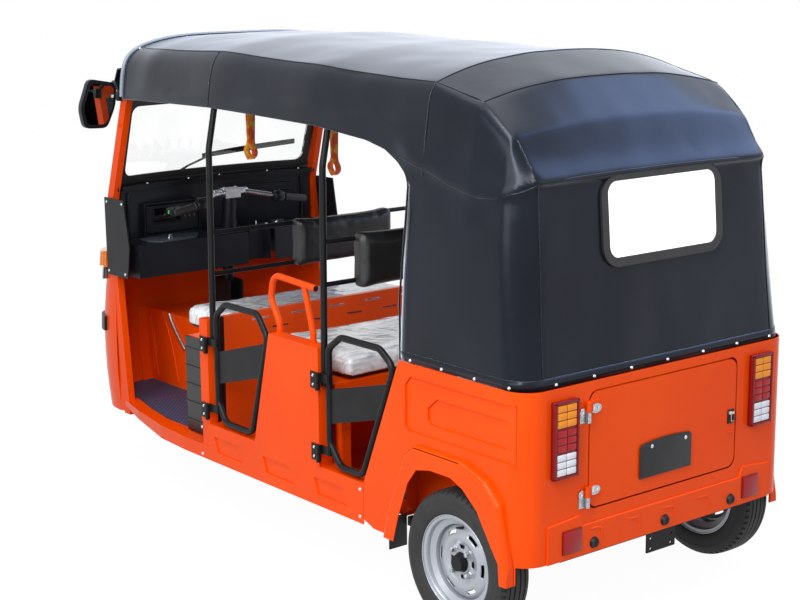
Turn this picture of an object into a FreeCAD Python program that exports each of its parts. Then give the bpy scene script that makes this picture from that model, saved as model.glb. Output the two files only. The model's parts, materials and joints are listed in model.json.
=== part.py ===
import FreeCAD, Part
import os
import re
import math
import Sketcher

os.makedirs("parts", exist_ok=True)
doc = FreeCAD.newDocument("AutoRickshaw")
V = FreeCAD.Vector

# Sizes in millimetres. Stations along the vehicle count from the rear axle, forward is negative.
rows = [
    ("wheelBase", 2350, "front axle to rear axle"),
    ("bumperOut", 12, "how far the lower front strip stands out"),
    ("noseReach", 335, "nose ahead of the front axle"),
    ("tailReach", 322, "rear panel behind the rear axle"),
    ("lampDepth", 22, "how far the tail lamps stand out"),
    ("halfWidth", 648, "half of the body width at the sides"),
    ("skin", 3, "thickness of the painted body sheet"),
    ("play", 6, "gap kept between moving and fixed panels"),
    ("fitGap", 0.3, "gap kept between curved pieces that meet"),
    ("runFit", 0.05, "radial gap in a turning joint"),
    ("tyreRadius", 250, "outer radius of every tyre"),
    ("tyreWidth", 130, "section width of every tyre"),
    ("rimRadius", 165, "outer radius of the rim flange"),
    ("rimSeat", 152, "radius of the bead seat"),
    ("rimSheet", 4, "thickness of the rim sheet"),
    ("rimHalf", 56, "half width of the rim"),
    ("wellRadius", 128, "radius of the drop centre"),
    ("track", 1204, "distance between the rear tyre centres"),
    ("spindle", 15, "radius of the wheel spindles"),
    ("floorTop", 300, "top of the floor pan"),
    ("railLift", 303, "underside of the frame rails above the axle"),
    ("sillBottom", 250, "lower edge of the side sills"),
    ("sillTop", 402, "top of the sills behind the door pillar"),
    ("sillDepth", 86, "how far the sills reach inward"),
    ("entryTop", 306, "top of the sill in the driver's entry"),
    ("hemTop", 888, "upper edge of the rear tub"),
    ("tubBottom", 312, "lower edge of the rear panel"),
    ("tubCorner", 90, "corner radius of the rear tub"),
    ("tubFrontTop", 298, "front edge of the tub ahead of the axle at the top"),
    ("tubFrontLow", 503, "front edge of the tub ahead of the axle at the sill"),
    ("archTop", 552, "top of the wheel arch opening"),
    ("archFront", 304, "front foot of the arch opening ahead of the axle"),
    ("archRear", 262, "rear foot of the arch opening behind the axle"),
    ("flareOut", 28, "how far the arch lip stands out"),
    ("flareWide", 62, "width of the arch lip above the opening"),
    ("recessDeep", 7, "depth of the pressed panel in the quarter"),
    ("bandOut", 7, "how far the lower band of the tail stands out"),
    ("doorHalf", 366, "half width of the trunk opening"),
    ("doorLow", 457, "lower edge of the trunk opening"),
    ("doorHigh", 857, "upper edge of the trunk opening"),
    ("doorCorner", 36, "corner radius of the trunk opening"),
    ("postFront", 1557, "front face of the door post"),
    ("postRear", 1500, "rear face of the door post"),
    ("postTop", 826, "top of the door post"),
    ("panelFrontTop", 1072, "front edge of the middle panel at the top"),
    ("panelFrontLow", 1182, "front edge of the middle panel at the sill"),
    ("panelRear", 762, "rear edge of the middle panel"),
    ("panelTop", 846, "top of the middle panel"),
    ("gateTube", 12.5, "radius of the gate tube"),
    ("gateTop", 904, "upper tube centre of the gates"),
    ("gateLow", 424, "lower tube centre of the gates"),
    ("hingeOut", 12, "gate hinge axis outside the body side"),
    ("barrel", 8, "radius of the gate hinge barrels"),
    ("pin", 4, "radius of the hinge pins"),
    ("seatTop", 800, "top of the cushions"),
    ("cushion", 95, "thickness of the cushions"),
    ("screenLow", 1262, "lower edge of the windscreen"),
    ("screenHigh", 1640, "upper edge of the windscreen"),
    ("fork", 98, "half distance between the fork legs"),
    ("trail", 40, "steering axis ahead of the wheel centre"),
    ("rake", 0.1, "rearward lean of the steering axis for each unit of height"),
    ("barHeight", 1188, "height of the handlebar clamp"),
]
sheet = doc.addObject("Spreadsheet::Sheet", "Sizes")
for line, (alias, value, meaning) in enumerate(rows, 1):
    sheet.set("A%d" % line, meaning)
    sheet.set("B%d" % line, str(value))
    sheet.setAlias("B%d" % line, alias)
doc.recompute()


class Size:
    """A number together with the formula that gives it."""

    def __init__(self, number, text):
        self.number = float(number)
        self.text = text

    def joined(self, other, sign, value):
        return Size(value, "(%s %s %s)" % (self.text, sign, other.text))

    def __add__(self, other):
        other = size(other)
        return self.joined(other, "+", self.number + other.number)

    def __sub__(self, other):
        other = size(other)
        return self.joined(other, "-", self.number - other.number)

    def __mul__(self, other):
        other = size(other)
        return self.joined(other, "*", self.number * other.number)

    def __truediv__(self, other):
        other = size(other)
        return self.joined(other, "/", self.number / other.number)

    def __radd__(self, other):
        return size(other) + self

    def __rsub__(self, other):
        return size(other) - self

    def __rmul__(self, other):
        return size(other) * self

    def __neg__(self):
        return Size(-self.number, "(-1 * %s)" % self.text)

    def __float__(self):
        return self.number


def size(value):
    if isinstance(value, Size):
        return value
    return Size(value, "%.6g" % value)


class Table:
    pass


p = Table()
for alias, value, meaning in rows:
    setattr(p, alias, Size(float(sheet.get(alias)), "Sizes." + alias))
shift = (p.wheelBase + p.noseReach + p.bumperOut - p.tailReach - p.lampDepth) / 2
finished = []


def bind(obj, path, value):
    value = size(value)
    if "Sizes." in value.text:
        obj.setExpression(path, value.text)
    elif "." in path:
        obj.setExpression(path, value.text)
    else:
        setattr(obj, path, value.number)


def at(obj, x, y, z):
    bind(obj, "Placement.Base.x", x)
    bind(obj, "Placement.Base.y", y)
    bind(obj, "Placement.Base.z", z)
    return obj


def done(label, obj):
    obj.Label = label
    finished.append(obj)
    return obj


def box(name, x, y, z, dx, dy, dz):
    obj = doc.addObject("Part::Box", name)
    bind(obj, "Length", dx)
    bind(obj, "Width", dy)
    bind(obj, "Height", dz)
    return at(obj, x, y, z)


turns = {
    "x": FreeCAD.Rotation(V(0, 1, 0), 90),
    "y": FreeCAD.Rotation(V(1, 0, 0), -90),
    "z": FreeCAD.Rotation(),
}


def rod(name, axis, x, y, z, radius, length):
    obj = doc.addObject("Part::Cylinder", name)
    obj.Placement = FreeCAD.Placement(V(), turns[axis])
    bind(obj, "Radius", radius)
    bind(obj, "Height", length)
    return at(obj, x, y, z)


def fuse(name, pieces):
    obj = doc.addObject("Part::MultiFuse", name)
    obj.Shapes = pieces
    return obj


def cut(name, base, tool):
    obj = doc.addObject("Part::Cut", name)
    obj.Base = base
    obj.Tool = tool
    return obj


def mirrored(name, source):
    obj = doc.addObject("Part::Mirroring", name)
    obj.Source = source
    obj.Normal = V(1, 0, 0)
    return obj


def together(name, pieces):
    obj = doc.addObject("Part::Compound", name)
    obj.Links = pieces
    return obj


def bothSides(name, source):
    return together(name, [source, mirrored(name + "_right", source)])


def shaped(name, shape):
    obj = doc.addObject("Part::Feature", name)
    obj.Shape = shape
    return obj


def softEdges(name, base, radius, chosen):
    doc.recompute()
    obj = doc.addObject("Part::Fillet", name)
    obj.Base = base
    number = n(radius)
    picks = []
    for index, edge in enumerate(base.Shape.Edges, 1):
        if chosen(edge):
            picks.append((index, number, number))
    obj.Edges = picks
    return obj


def along(edge, axis):
    first, last = edge.Vertexes[0].Point, edge.Vertexes[-1].Point
    span = last - first
    length = span.Length
    return length > 0 and abs(abs(span.dot(axis)) - length) < 1e-6 * length


def planeOf(body, role):
    for feature in body.Origin.OriginFeatures:
        if feature.Role == role:
            return feature
    return None


def newBody(name):
    return doc.addObject("PartDesign::Body", name)


def outline(body, role, offset, points, name="Outline"):
    sketch = body.newObject("Sketcher::SketchObject", name)
    sketch.AttachmentSupport = [(planeOf(body, role), "")]
    sketch.MapMode = "FlatFace"
    bind(sketch, "AttachmentOffset.Base.z", offset)
    count = len(points)
    corners = [V(n(a), n(b), 0) for a, b in points]
    for index in range(count):
        sketch.addGeometry(Part.LineSegment(corners[index], corners[(index + 1) % count]), False)
    for index in range(count):
        sketch.addConstraint(Sketcher.Constraint("Coincident", index, 2, (index + 1) % count, 1))
    for index, (a, b) in enumerate(points):
        for kind, value in (("DistanceX", size(a)), ("DistanceY", size(b))):
            spot = sketch.addConstraint(Sketcher.Constraint(kind, -1, 1, index, 1, value.number))
            if "Sizes." in value.text:
                sketch.setExpression("Constraints[%d]" % spot, value.text)
    return sketch


def pad(body, sketch, length, name="Pad"):
    obj = body.newObject("PartDesign::Pad", name)
    obj.Profile = sketch
    bind(obj, "Length", length)
    body.Tip = obj
    return obj


def pocket(body, sketch, length, name="Pocket"):
    doc.recompute()
    before = body.Shape.Volume
    obj = body.newObject("PartDesign::Pocket", name)
    obj.Profile = sketch
    bind(obj, "Length", length)
    body.Tip = obj
    doc.recompute()
    if body.Shape.isNull() or body.Shape.Volume > before - 1e-6:
        obj.Reversed = True
        doc.recompute()
    if body.Shape.Volume > before - 1e-6:
        raise RuntimeError("nothing cut by " + name + " in " + body.Name)
    return obj


def spun(body, sketch, name="Revolution"):
    obj = body.newObject("PartDesign::Revolution", name)
    obj.Profile = sketch
    obj.ReferenceAxis = (sketch, ["H_Axis"])
    obj.Angle = 360
    body.Tip = obj
    return obj


def rounded(body, radius, chosen, name="Fillet"):
    doc.recompute()
    tip = body.Tip
    names = []
    for index, edge in enumerate(tip.Shape.Edges, 1):
        if chosen(edge):
            names.append("Edge%d" % index)
    obj = body.newObject("PartDesign::Fillet", name)
    obj.Base = (tip, names)
    bind(obj, "Radius", radius)
    body.Tip = obj
    return obj


def bentWire(points, bend, closed=False):
    """A run of straight lines joined by arcs of one bend radius."""
    points = [V(*[n(c) for c in point]) for point in points]
    bend = n(bend)
    count = len(points)
    entries = []
    for index, here in enumerate(points):
        if not closed and index in (0, count - 1):
            entries.append((here, None, here))
            continue
        back = points[index - 1] - here
        ahead = points[(index + 1) % count] - here
        reach = min(back.Length, ahead.Length) * 0.48
        half = back.getAngle(ahead) / 2
        if half > math.pi / 2 - 0.01:
            entries.append((here, None, here))
            continue
        step = min(bend / math.tan(half), reach)
        radius = step * math.tan(half)
        back.normalize()
        ahead.normalize()
        middle = back + ahead
        middle.normalize()
        centre = here + middle * (radius / math.sin(half))
        inner = centre - middle * radius
        entries.append((here + back * step, inner, here + ahead * step))
    edges = []
    last = len(entries) if closed else len(entries) - 1
    for index in range(len(entries)):
        start, inner, end = entries[index]
        if inner is not None:
            edges.append(Part.Arc(start, inner, end).toShape())
        if index < last:
            following = entries[(index + 1) % len(entries)][0]
            if end.distanceToPoint(following) > 1e-4:
                edges.append(Part.LineSegment(end, following).toShape())
    return Part.Wire(edges)


def tubeShape(points, bend, radius, bore=0, closed=False):
    """A bent round tube along the given corner points."""
    spine = bentWire(points, bend, closed)
    first = spine.OrderedEdges[0]
    start = first.valueAt(first.FirstParameter)
    way = first.tangentAt(first.FirstParameter)
    if first.Orientation == "Reversed":
        start = first.valueAt(first.LastParameter)
        way = first.tangentAt(first.LastParameter) * -1
    solids = []
    for size_ in [radius] + ([bore] if n(bore) > 0 else []):
        ring = Part.Wire([Part.Circle(start, way, n(size_)).toShape()])
        pipe = spine.makePipeShell([ring], True, True)
        solids.append(pipe)
    if len(solids) == 2:
        return solids[0].cut(solids[1])
    return solids[0]


def plate(points, axis, thickness):
    """A flat sheet: a polygon pushed along one axis."""
    corners = [V(*[n(c) for c in point]) for point in points]
    face = Part.Face(Part.makePolygon(corners + corners[:1]))
    move = {"x": V(1, 0, 0), "y": V(0, 1, 0), "z": V(0, 0, 1)}[axis]
    return face.extrude(move * n(thickness))


def n(value):
    return float(size(value))


def flipped(shape):
    return shape.mirror(V(0, 0, 0), V(1, 0, 0))


def tyre(label, x, y):
    body = newBody(label + "_body")
    half = p.tyreWidth / 2
    bead = p.rimSeat + p.fitGap
    wall = 10
    points = [
        (-(p.rimHalf - p.rimSheet - p.fitGap), bead),
        (-(p.rimHalf - p.rimSheet - p.fitGap), p.rimRadius + 1),
        (-(half - 4), bead + 26),
        (-half, bead + 50),
        (-(half - 3), p.tyreRadius - 24),
        (-(half - 12), p.tyreRadius - 8),
        (-(half - 26), p.tyreRadius - 1),
        (-0.01, p.tyreRadius),
        (half - 26, p.tyreRadius - 1),
        (half - 12, p.tyreRadius - 8),
        (half - 3, p.tyreRadius - 24),
        (half, bead + 50),
        (half - 4, bead + 26),
        (p.rimHalf - p.rimSheet - p.fitGap, p.rimRadius + 1),
        (p.rimHalf - p.rimSheet - p.fitGap, bead),
        (p.rimHalf - p.rimSheet - p.fitGap - wall, bead),
        (p.rimHalf - p.rimSheet - p.fitGap - wall, p.rimRadius + 3),
        (half - 4 - wall, bead + 29),
        (half - wall, bead + 50),
        (half - 3 - wall, p.tyreRadius - 30),
        (half - 28, p.tyreRadius - 12),
        (-(half - 28), p.tyreRadius - 12),
        (-(half - 3 - wall), p.tyreRadius - 30),
        (-(half - wall), bead + 50),
        (-(half - 4 - wall), bead + 29),
        (-(p.rimHalf - p.rimSheet - p.fitGap - wall), p.rimRadius + 3),
        (-(p.rimHalf - p.rimSheet - p.fitGap - wall), bead),
    ]
    spun(body, outline(body, "XY_Plane", 0, points))
    at(body, x, y + shift, p.tyreRadius)
    return done(label, body)


def rim(label, x, y, outward):
    body = newBody(label + "_body")
    sheet_ = p.rimSheet
    half = p.rimHalf
    seat = p.rimSeat
    well = p.wellRadius
    outer = [
        (-half, p.rimRadius),
        (-(half - sheet_), p.rimRadius),
        (-(half - sheet_), seat),
        (-(half - 22), seat),
        (-(half - 34), well),
        (half - 34, well),
        (half - 22, seat),
        (half - sheet_, seat),
        (half - sheet_, p.rimRadius),
        (half, p.rimRadius),
        (half, seat - sheet_),
        (half - 20, seat - sheet_),
        (half - 32, well - sheet_),
        (10 + sheet_, well - sheet_),
        (18 + sheet_, 100),
        (26 + sheet_, 92),
        (26 + sheet_, 78),
        (14 + sheet_, 68),
        (14 + sheet_, 32),
        (14, 32),
        (14, 68 + sheet_),
        (26, 78 + sheet_ / 2),
        (26, 90),
        (18, 100 - sheet_),
        (6, well - sheet_),
        (-(half - 32), well - sheet_),
        (-(half - 20), seat - sheet_),
        (-half, seat - sheet_),
    ]
    points = outer
    if outward < 0:
        points = [(-a, b) for a, b in outer][::-1]
    spun(body, outline(body, "XY_Plane", 0, points))
    # Six vents through the sloping part of the disc.
    count = 6
    sketch = body.newObject("Sketcher::SketchObject", "Vents")
    sketch.AttachmentSupport = [(planeOf(body, "YZ_Plane"), "")]
    sketch.MapMode = "FlatFace"
    for index in range(count):
        angle = 2 * math.pi * index / count
        spot = V(110 * math.cos(angle), 110 * math.sin(angle), 0)
        sketch.addGeometry(Part.Circle(spot, V(0, 0, 1), 9), False)
        sketch.addConstraint(Sketcher.Constraint("DistanceX", -1, 1, index, 3, spot.x))
        sketch.addConstraint(Sketcher.Constraint("DistanceY", -1, 1, index, 3, spot.y))
        sketch.addConstraint(Sketcher.Constraint("Radius", index, 9))
    doc.recompute()
    cutter = pocket(body, sketch, 60)
    cutter.Midplane = True
    at(body, x, y + shift, p.tyreRadius)
    return done(label, body)


def hub(label, x, y, outward):
    """Brake drum, bearing sleeve and cap that turn with the wheel."""
    body = newBody(label + "_body")
    bore = p.spindle + p.runFit
    face = 14
    points = [
        (-58, bore),
        (-58, 88),
        (-8, 88),
        (-8, 60),
        (face, 60),
        (face, 32 - p.fitGap),
        (face + 14, 32 - p.fitGap),
        (face + 34, 26),
        (face + 34, 0),
        (face + 26, 0),
        (face + 26, bore),
    ]
    if outward < 0:
        points = [(-a, b) for a, b in points][::-1]
    spun(body, outline(body, "XY_Plane", 0, points))
    at(body, x, y + shift, p.tyreRadius)
    return done(label, body)


half_track = p.track / 2
tyre("tyre_rear_left", half_track, 0)
tyre("tyre_rear_right", -half_track, 0)
tyre("tyre_front", 0, -p.wheelBase)
rim("rim_rear_left", half_track, 0, 1)
rim("rim_rear_right", -half_track, 0, -1)
rim("rim_front", 0, -p.wheelBase, 1)
hub("hub_rear_left", half_track, 0, 1)
hub("hub_rear_right", -half_track, 0, -1)


def frontHub():
    body = newBody("hub_front_body")
    bore = p.spindle + p.runFit
    points = [
        (-60, bore),
        (-60, 70),
        (-12, 70),
        (-12, 52),
        (14, 52),
        (14, 32 - p.fitGap),
        (60, 32 - p.fitGap),
        (60, bore),
    ]
    spun(body, outline(body, "XY_Plane", 0, points))
    at(body, 0, shift - p.wheelBase, p.tyreRadius)
    return done("hub_front", body)


frontHub()


axleRadius = 34


def rearAxle():
    inner = half_track - 58 - p.play
    beam = rod("axle_beam", "x", -inner, 0, 0, axleRadius, inner * 2)
    stub = rod("axle_stub", "x", -(half_track + 34), 0, 0, p.spindle, (half_track + 34) * 2)
    gear = rod("axle_gear", "x", -62, 0, 0, 78, 124)
    both = fuse("axle_all", [beam, stub, gear])
    at(both, 0, shift, p.tyreRadius)
    return done("rear_axle", both)


rearAxle()


def springs():
    """Leaf packs under the axle, hung from the rails by their eyes."""
    low = 196
    thick = 18
    left = 268
    wide = 50
    leaf = box("spring_leaves", left, -322, low, wide, 602, thick)
    clamp = box("spring_clamp", left - 2, -50, low - 6, wide + 4, 100, p.tyreRadius - axleRadius - low + 6 - p.fitGap)
    eyes = []
    for index, station in enumerate((-322, 256)):
        eyes.append(box("spring_eye_%d" % index, left, station, low, wide, 24, p.railLift - low))
    side = fuse("spring_side", [leaf, clamp] + eyes)
    both = bothSides("springs_both", side)
    at(both, 0, shift, 0)
    return done("leaf_springs", both)


springs()


def ladder():
    """Front rails under the floor, stepped up behind the door to pass over the axle."""
    high = 32
    low = p.floorTop - p.skin - p.fitGap - high
    wide = 44
    inner = 270
    step = -366
    front = box("rail_front", inner, -2050, low, wide, 2050 + step + 40, high)
    riser = box("rail_step", inner, step, low, wide, 40, p.railLift + high - low)
    rear = box("rail_rear", inner, step, p.railLift, wide, 316 - step, high)
    rails = bothSides("frame_rails", fuse("rail_side", [front, riser, rear]))
    pieces = [rails]
    for index, station in enumerate((-2050, -1500, -900, step)):
        pieces.append(box("frame_cross_%d" % index, -558, station, low, 1116, 40, high))
    pieces.append(box("frame_cross_rear", -480, 276, p.railLift, 960, 40, high))
    pieces.append(box("tow_plate", -70, 310, 236, 140, 6, p.railLift - 236 + 10))
    holes = []
    for x in (-50, 50):
        for z in (248, 284):
            holes.append(rod("tow_hole_%d_%d" % (x + 50, z), "y", x, 300, z, 5.5, 30))
    both = cut("frame_drilled", fuse("frame_all", pieces), together("tow_holes", holes))
    at(both, 0, shift, 0)
    return done("chassis_frame", both)


ladder()


def floorPan():
    front = 2300
    body = newBody("floor_body")
    inner = p.halfWidth - p.sillDepth
    wellHalf = 238
    wellRear = 2070
    points = [
        (-inner, -370.5),
        (inner, -370.5),
        (inner, -2000),
        (520, -front),
        (wellHalf, -front),
        (wellHalf, -wellRear),
        (-wellHalf, -wellRear),
        (-wellHalf, -front),
        (-520, -front),
        (-inner, -2000),
    ]
    pad(body, outline(body, "XY_Plane", p.floorTop - p.skin, points), p.skin)
    at(body, 0, shift, 0)
    return done("floor_pan", body)


floorPan()


def mats():
    thick = 5
    inner = p.halfWidth - p.sillDepth - 12
    drive = newBody("mat_driver")
    points = [
        (-inner, -1812),
        (inner, -1812),
        (inner, -2000),
        (505, -2280),
        (258, -2280),
        (258, -2040),
        (-258, -2040),
        (-258, -2280),
        (-505, -2280),
        (-inner, -2000),
    ]
    pad(drive, outline(drive, "XY_Plane", p.floorTop, points), thick)
    middle = box("mat_middle", -inner, -1480, p.floorTop, inner * 2, 290, thick)
    rear = box("mat_rear", -inner, -740, p.floorTop, inner * 2, 230, thick)
    both = together("mats_all", [drive, middle, rear])
    at(both, 0, shift, 0)
    return done("floor_mats", both)


mats()


def pillarShape():
    feet = [(560, -2316, 254), (556, -2384, 833), (545, -2420, 1190), (534, -2278, 1652)]
    shapes = []
    for sign in (1, -1):
        sections = []
        for x, y, level in feet:
            sections.append(Part.makePolygon([
                V(sign * x, y - 24, level), V(sign * x, y + 24, level), V(sign * (x - 30), y + 24, level),
                V(sign * (x - 30), y - 24, level), V(sign * x, y - 24, level)]))
        shapes.append(Part.makeLoft(sections, True, True))
    header = Part.makeBox(1068, 40, 40, V(-534, -2298, 1640))
    return shapes[0].fuse([shapes[1], header])


def pillars():
    """Front pillars with the header that ties them at the roof."""
    obj = shaped("pillar_shape", pillarShape())
    at(obj, 0, shift, 0)
    return done("front_pillars", obj)


pillars()


def sills():
    """Pressed sill panels; the front part is low and runs inward to the pillar."""
    skin = n(p.skin)
    x = n(p.halfWidth)
    back = -n(p.tubFrontLow)
    post = -n(p.postRear)
    front = -n(p.postFront)
    low = n(p.sillBottom)
    top = n(p.sillTop)
    inward = n(p.sillDepth)
    outer = plate([(x - skin, post, low), (x - skin, back, low), (x - skin, back, top),
                   (x - skin, post, top)], "x", skin)
    lid = plate([(x - inward, post, top - skin), (x, post, top - skin), (x, back, top - skin),
                 (x - inward, back, top - skin)], "z", skin)
    web = plate([(x - inward, post, n(p.floorTop)), (x - inward, back, n(p.floorTop)),
                 (x - inward, back, top), (x - inward, post, top)], "x", skin)
    main = outer.fuse([lid, web])
    for start in (-1475, -1134, -803):
        long = 206
        tilt = 24
        well = plate([(x - skin * 3, start + tilt, 290), (x - skin * 3, start + long, 290),
                      (x - skin * 3, start + long - tilt, 358), (x - skin * 3, start, 358)], "x", skin * 3)
        dip = plate([(x - skin * 2, start + tilt + skin, 293), (x - skin * 2, start + long - skin, 293),
                     (x - skin * 2, start + long - tilt - skin, 355), (x - skin * 2, start + skin, 355)],
                    "x", skin * 2 + 1)
        main = main.fuse(well).cut(dip)
    entry = n(p.entryTop)
    path = [(x, post), (x, -1700.0), (x - 12, -1900.0), (x - 48, -2150.0), (x - 88, -2330.0)]
    sections = []
    for px, py in path:
        rise = 0.0 if py > -1900 else (-1900 - py) * 0.09
        wide = 62.0
        sections.append(Part.makePolygon([
            V(px, py, low + rise), V(px, py, entry + rise * 0.2), V(px - wide, py, entry + rise * 0.2),
            V(px - wide, py, entry - skin + rise * 0.2), V(px - skin, py, entry - skin + rise * 0.2),
            V(px - skin, py, low + rise), V(px, py, low + rise)]))
    nose = Part.makeLoft(sections, True, True)
    side = main.fuse(nose).cut(pillarShape()).removeSplitter()
    side = max(side.Solids, key=lambda solid: solid.Volume)
    obj = shaped("sills_both", Part.makeCompound([side, flipped(side)]))
    at(obj, 0, shift, 0)
    return done("side_sills", obj)


sills()


def doorPosts():
    wide = 40
    post = box("post_left", p.halfWidth - wide, -p.postFront, p.sillTop,
               wide, p.postFront - p.postRear, p.postTop - p.sillTop)
    foot = box("post_foot", p.halfWidth - wide, -p.postFront, p.entryTop,
               wide - p.skin, p.postFront - p.postRear, p.sillTop - p.entryTop)
    return fuse("post_side", [post, foot])


def middlePanels():
    """Folded box panels between the two door openings of each side."""
    body = newBody("panel_left")
    deep = 60
    face = [
        (-p.panelFrontTop, p.panelTop),
        (-p.panelRear, p.panelTop),
        (-p.panelRear, p.sillTop),
        (-p.panelFrontLow, p.sillTop),
    ]
    pad(body, outline(body, "YZ_Plane", p.halfWidth - deep, face), deep)
    hollow = [
        (-p.panelFrontTop + p.skin * 1.2, p.panelTop - p.skin),
        (-p.panelRear - p.skin, p.panelTop - p.skin),
        (-p.panelRear - p.skin, p.sillTop - 5),
        (-p.panelFrontLow + p.skin * 1.2, p.sillTop - 5),
    ]
    pocket(body, outline(body, "YZ_Plane", p.halfWidth - p.skin, hollow, "Hollow"), deep)
    return body


def sidePanels():
    both = bothSides("side_panels_both", together("side_panel_pair", [doorPosts(), middlePanels()]))
    at(both, 0, shift, 0)
    return done("side_panels", both)


sidePanels()


slotCount = 9
slotLong = 80
slotStep = 96
slotStart = -(slotStep * (slotCount - 1) + slotLong) / 2


def driverSeatBox():
    """Seat box with a tall slotted rear wall, and ribbed cheeks on its ends."""
    half = 560
    wide = p.halfWidth - 42
    front = -1786
    back = -n(p.postRear) - 12
    base = p.seatTop - p.cushion - p.fitGap
    foot = p.floorTop
    high = p.postTop
    rear = box("driver_rear_wall", -wide, back - 3, p.sillTop + p.fitGap, wide * 2, p.skin,
               high - p.sillTop - p.fitGap)
    low = box("driver_rear_low", -half, back - 3, foot, half * 2, p.skin, p.sillTop - foot + 5)
    flange = box("driver_flange", -wide, back - 25, high - p.skin, wide * 2, 25, p.skin)
    top = box("driver_box_top", -half, front, base - p.skin, half * 2, back - front, p.skin)
    frontWall = box("driver_front_wall", -half, front, foot, half * 2, p.skin, base - foot)
    sideWall = box("driver_side_wall", half - p.skin, front, foot, p.skin, back - front, base - foot)
    walls = fuse("driver_walls", [rear, low, flange, top, frontWall, sideWall,
                                  mirrored("driver_side_other", sideWall)])
    slots = []
    for index in range(slotCount):
        x = slotStart + index * slotStep
        slots.append(box("wall_slot_%d" % index, x, back - 6, 746 if index % 2 else 790, slotLong, 9, 9))
    slotted = cut("driver_slotted", walls, together("wall_slots", slots))
    cheek = box("cheek_left", half + p.fitGap, front, p.entryTop + p.fitGap, 14, 226, 396)
    ribs = [cheek]
    for index in range(5):
        ribs.append(box("cheek_rib_%d" % index, half + p.fitGap, front, p.floorTop + 50 + index * 76,
                        18, 222, 6))
    cheeks = bothSides("cheeks_both", fuse("cheek_side", ribs))
    all_ = together("seat_box_all", [slotted, cheeks])
    at(all_, 0, shift, 0)
    return done("driver_seat_box", all_)


driverSeatBox()


def cushionBody(name, x0, x1, y0, y1, z0, z1, soft):
    body = newBody(name)
    points = [(x0, y0), (x1, y0), (x1, y1), (x0, y1)]
    pad(body, outline(body, "XY_Plane", z0, points), size(z1) - z0)
    rounded(body, soft, lambda edge: edge.BoundBox.ZMax > n(z1) - 1e-3 or
            along(edge, V(0, 0, 1)))
    return body


def cushions():
    base = p.seatTop - p.cushion
    top = p.seatTop
    pads = [
        cushionBody("driver_cushion", -500, 500, -1940, -1538, base, top, 30),
        cushionBody("middle_cushion", -540, 540, -1240, -730, base, top, 30),
        cushionBody("rear_cushion", -470, 470, -318, 96, base, top, 30),
    ]
    all_ = together("cushions_all", pads)
    at(all_, 0, shift, 0)
    done("seat_cushions", all_)
    ahead = p.fitGap + 22
    rests = [
        cushionBody("driver_back", -262, 262, ahead - p.postRear, -1420, 985, 1202, 22),
        cushionBody("middle_back", -511, 511, ahead - p.panelRear, -678, 1040, 1268, 24),
        cushionBody("rear_back", -470, 470, 97, 157.7, top + p.fitGap, 1180, 24),
    ]
    all_ = together("rests_all", rests)
    at(all_, 0, shift, 0)
    done("seat_backrests", all_)


cushions()


def middleSeatBox():
    base = p.seatTop - p.cushion - p.fitGap
    half = p.halfWidth - 60 - p.fitGap
    narrow = p.halfWidth - p.sillDepth - p.skin
    top = box("middle_top", -half, -1230, base - p.skin, half * 2, 490, p.skin)
    front = box("middle_front", -narrow, -1120, p.floorTop, narrow * 2, p.skin, base - p.floorTop)
    band = box("middle_band", -half, -743, base - 63, half * 2, p.skin, 63)
    leg = box("middle_leg", narrow - 40, -780, p.floorTop, 40, 40, base - p.floorTop)
    all_ = fuse("middle_walls", [top, front, band, leg, mirrored("middle_leg_other", leg)])
    at(all_, 0, shift, 0)
    return done("middle_seat_box", all_)


middleSeatBox()


def facesOf(shape, chosen):
    return ["Face%d" % index for index, face in enumerate(shape.Faces, 1) if chosen(face.BoundBox)]


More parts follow.
